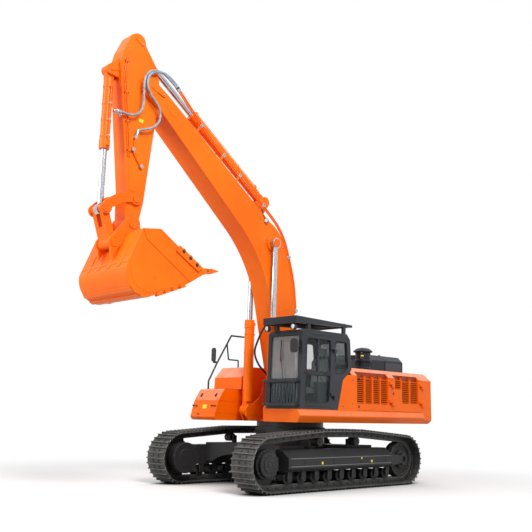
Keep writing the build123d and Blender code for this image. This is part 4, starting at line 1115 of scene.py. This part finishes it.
yaw, pitch, roll = radians(44.137), radians(11.161), radians(-1.2307)
camera_place = (12.7385 + swing_x, 12.2305, 1.5047)
sensor, focal_pixels, picture_pixels = 36.0, 754.9, 532
ahead = Vector((-sin(yaw) * cos(pitch), -cos(yaw) * cos(pitch), sin(pitch)))
right = Vector((-cos(yaw), sin(yaw), 0))
over = right.cross(ahead)
turned_right = cos(roll) * right - sin(roll) * over
turned_over = sin(roll) * right + cos(roll) * over
camera = bpy.data.objects.new("camera", bpy.data.cameras.new("camera"))
bpy.context.collection.objects.link(camera)
axes = Matrix((turned_right, turned_over, -ahead)).transposed()
camera.matrix_world = Matrix.Translation(camera_place) @ axes.to_4x4()
camera.data.sensor_width = sensor
camera.data.lens = focal_pixels / picture_pixels * sensor
camera.data.clip_end = 500
bpy.context.scene.camera = camera
bpy.context.scene.view_settings.view_transform = "Standard"

white = (1.0, 1.0, 1.0, 1.0)
sky_light = 0.4
world = bpy.data.worlds.new("studio")
bpy.context.scene.world = world
world.use_nodes = True
sky = Nodes(world.node_tree)
backdrop = sky.tree.nodes["Background"]
sky.feed(backdrop.inputs["Color"], white)
sky.feed(backdrop.inputs["Strength"], sky.seen() * (1 - sky_light) + sky_light)


def soft_lamp(name, place, aim, size, power):
    """A square studio lamp turned to its aim."""
    lamp = bpy.data.lights.new(name, "AREA")
    lamp.size = size
    lamp.energy = power
    obj = bpy.data.objects.new(name, lamp)
    bpy.context.collection.objects.link(obj)
    obj.location = place
    obj.rotation_euler = (Vector(aim) - Vector(place)).to_track_quat("-Z", "Y").to_euler()


soft_lamp("key", (6.0, 15.0, 17.0), (0.0, 0.0, 3.0), 9.0, 3700)
soft_lamp("fill", (16.0, -4.0, 9.0), (1.0, 0.0, 3.5), 8.0, 1500)
soft_lamp("rim", (-12.0, -8.0, 14.0), (0.0, 0.0, 3.0), 8.0, 700)

half_floor = 90
floor_mesh = bpy.data.meshes.new("studio_floor")
floor_corners = [(u, v, 0) for u, v in box_outline(-half_floor, half_floor, -half_floor, half_floor)]
floor_mesh.from_pydata(floor_corners, [], [(0, 1, 2, 3)])
floor = bpy.data.objects.new("studio_floor", floor_mesh)
bpy.context.collection.objects.link(floor)
pale = Finish("studio_white")
glow = pale.node("Emission", None, {"Color": white, "Strength": 1.0})
seen = pale.seen()
# Ambient occlusion darkens the floor's colour under and around the machine: a painted contact shadow.
clear = pale.node("AmbientOcclusion", {"samples": 16}, {"Distance": 2.2}, 1).ramp(0.1, 0.8)
shade = pale.mix(clear, (0.03, 0.03, 0.03, 1.0), (0.9, 0.9, 0.9, 1.0))
pale.set(Base_Color=pale.mix(seen, (0.5, 0.5, 0.5, 1.0), shade), Roughness=0.9, Specular_IOR_Level=0.0)
away = pale.node("VectorMath", {"operation": "LENGTH"}, {0: pale.spot()}, 1)
# Near the machine the white glow comes only where the floor is unoccluded, keeping the painted contact
# shadow; far out the floor glows evenly white.
shown_white = seen * (away.ramp(4.5, 11.0) * 0.85 + clear * 0.15)
blend = pale.node("MixShader", None, {0: shown_white, 1: Wire(pale, pale.shader.outputs[0]), 2: glow})
pale.feed(pale.tree.nodes["Material Output"].inputs[0], blend)
floor_mesh.materials.append(pale.material)
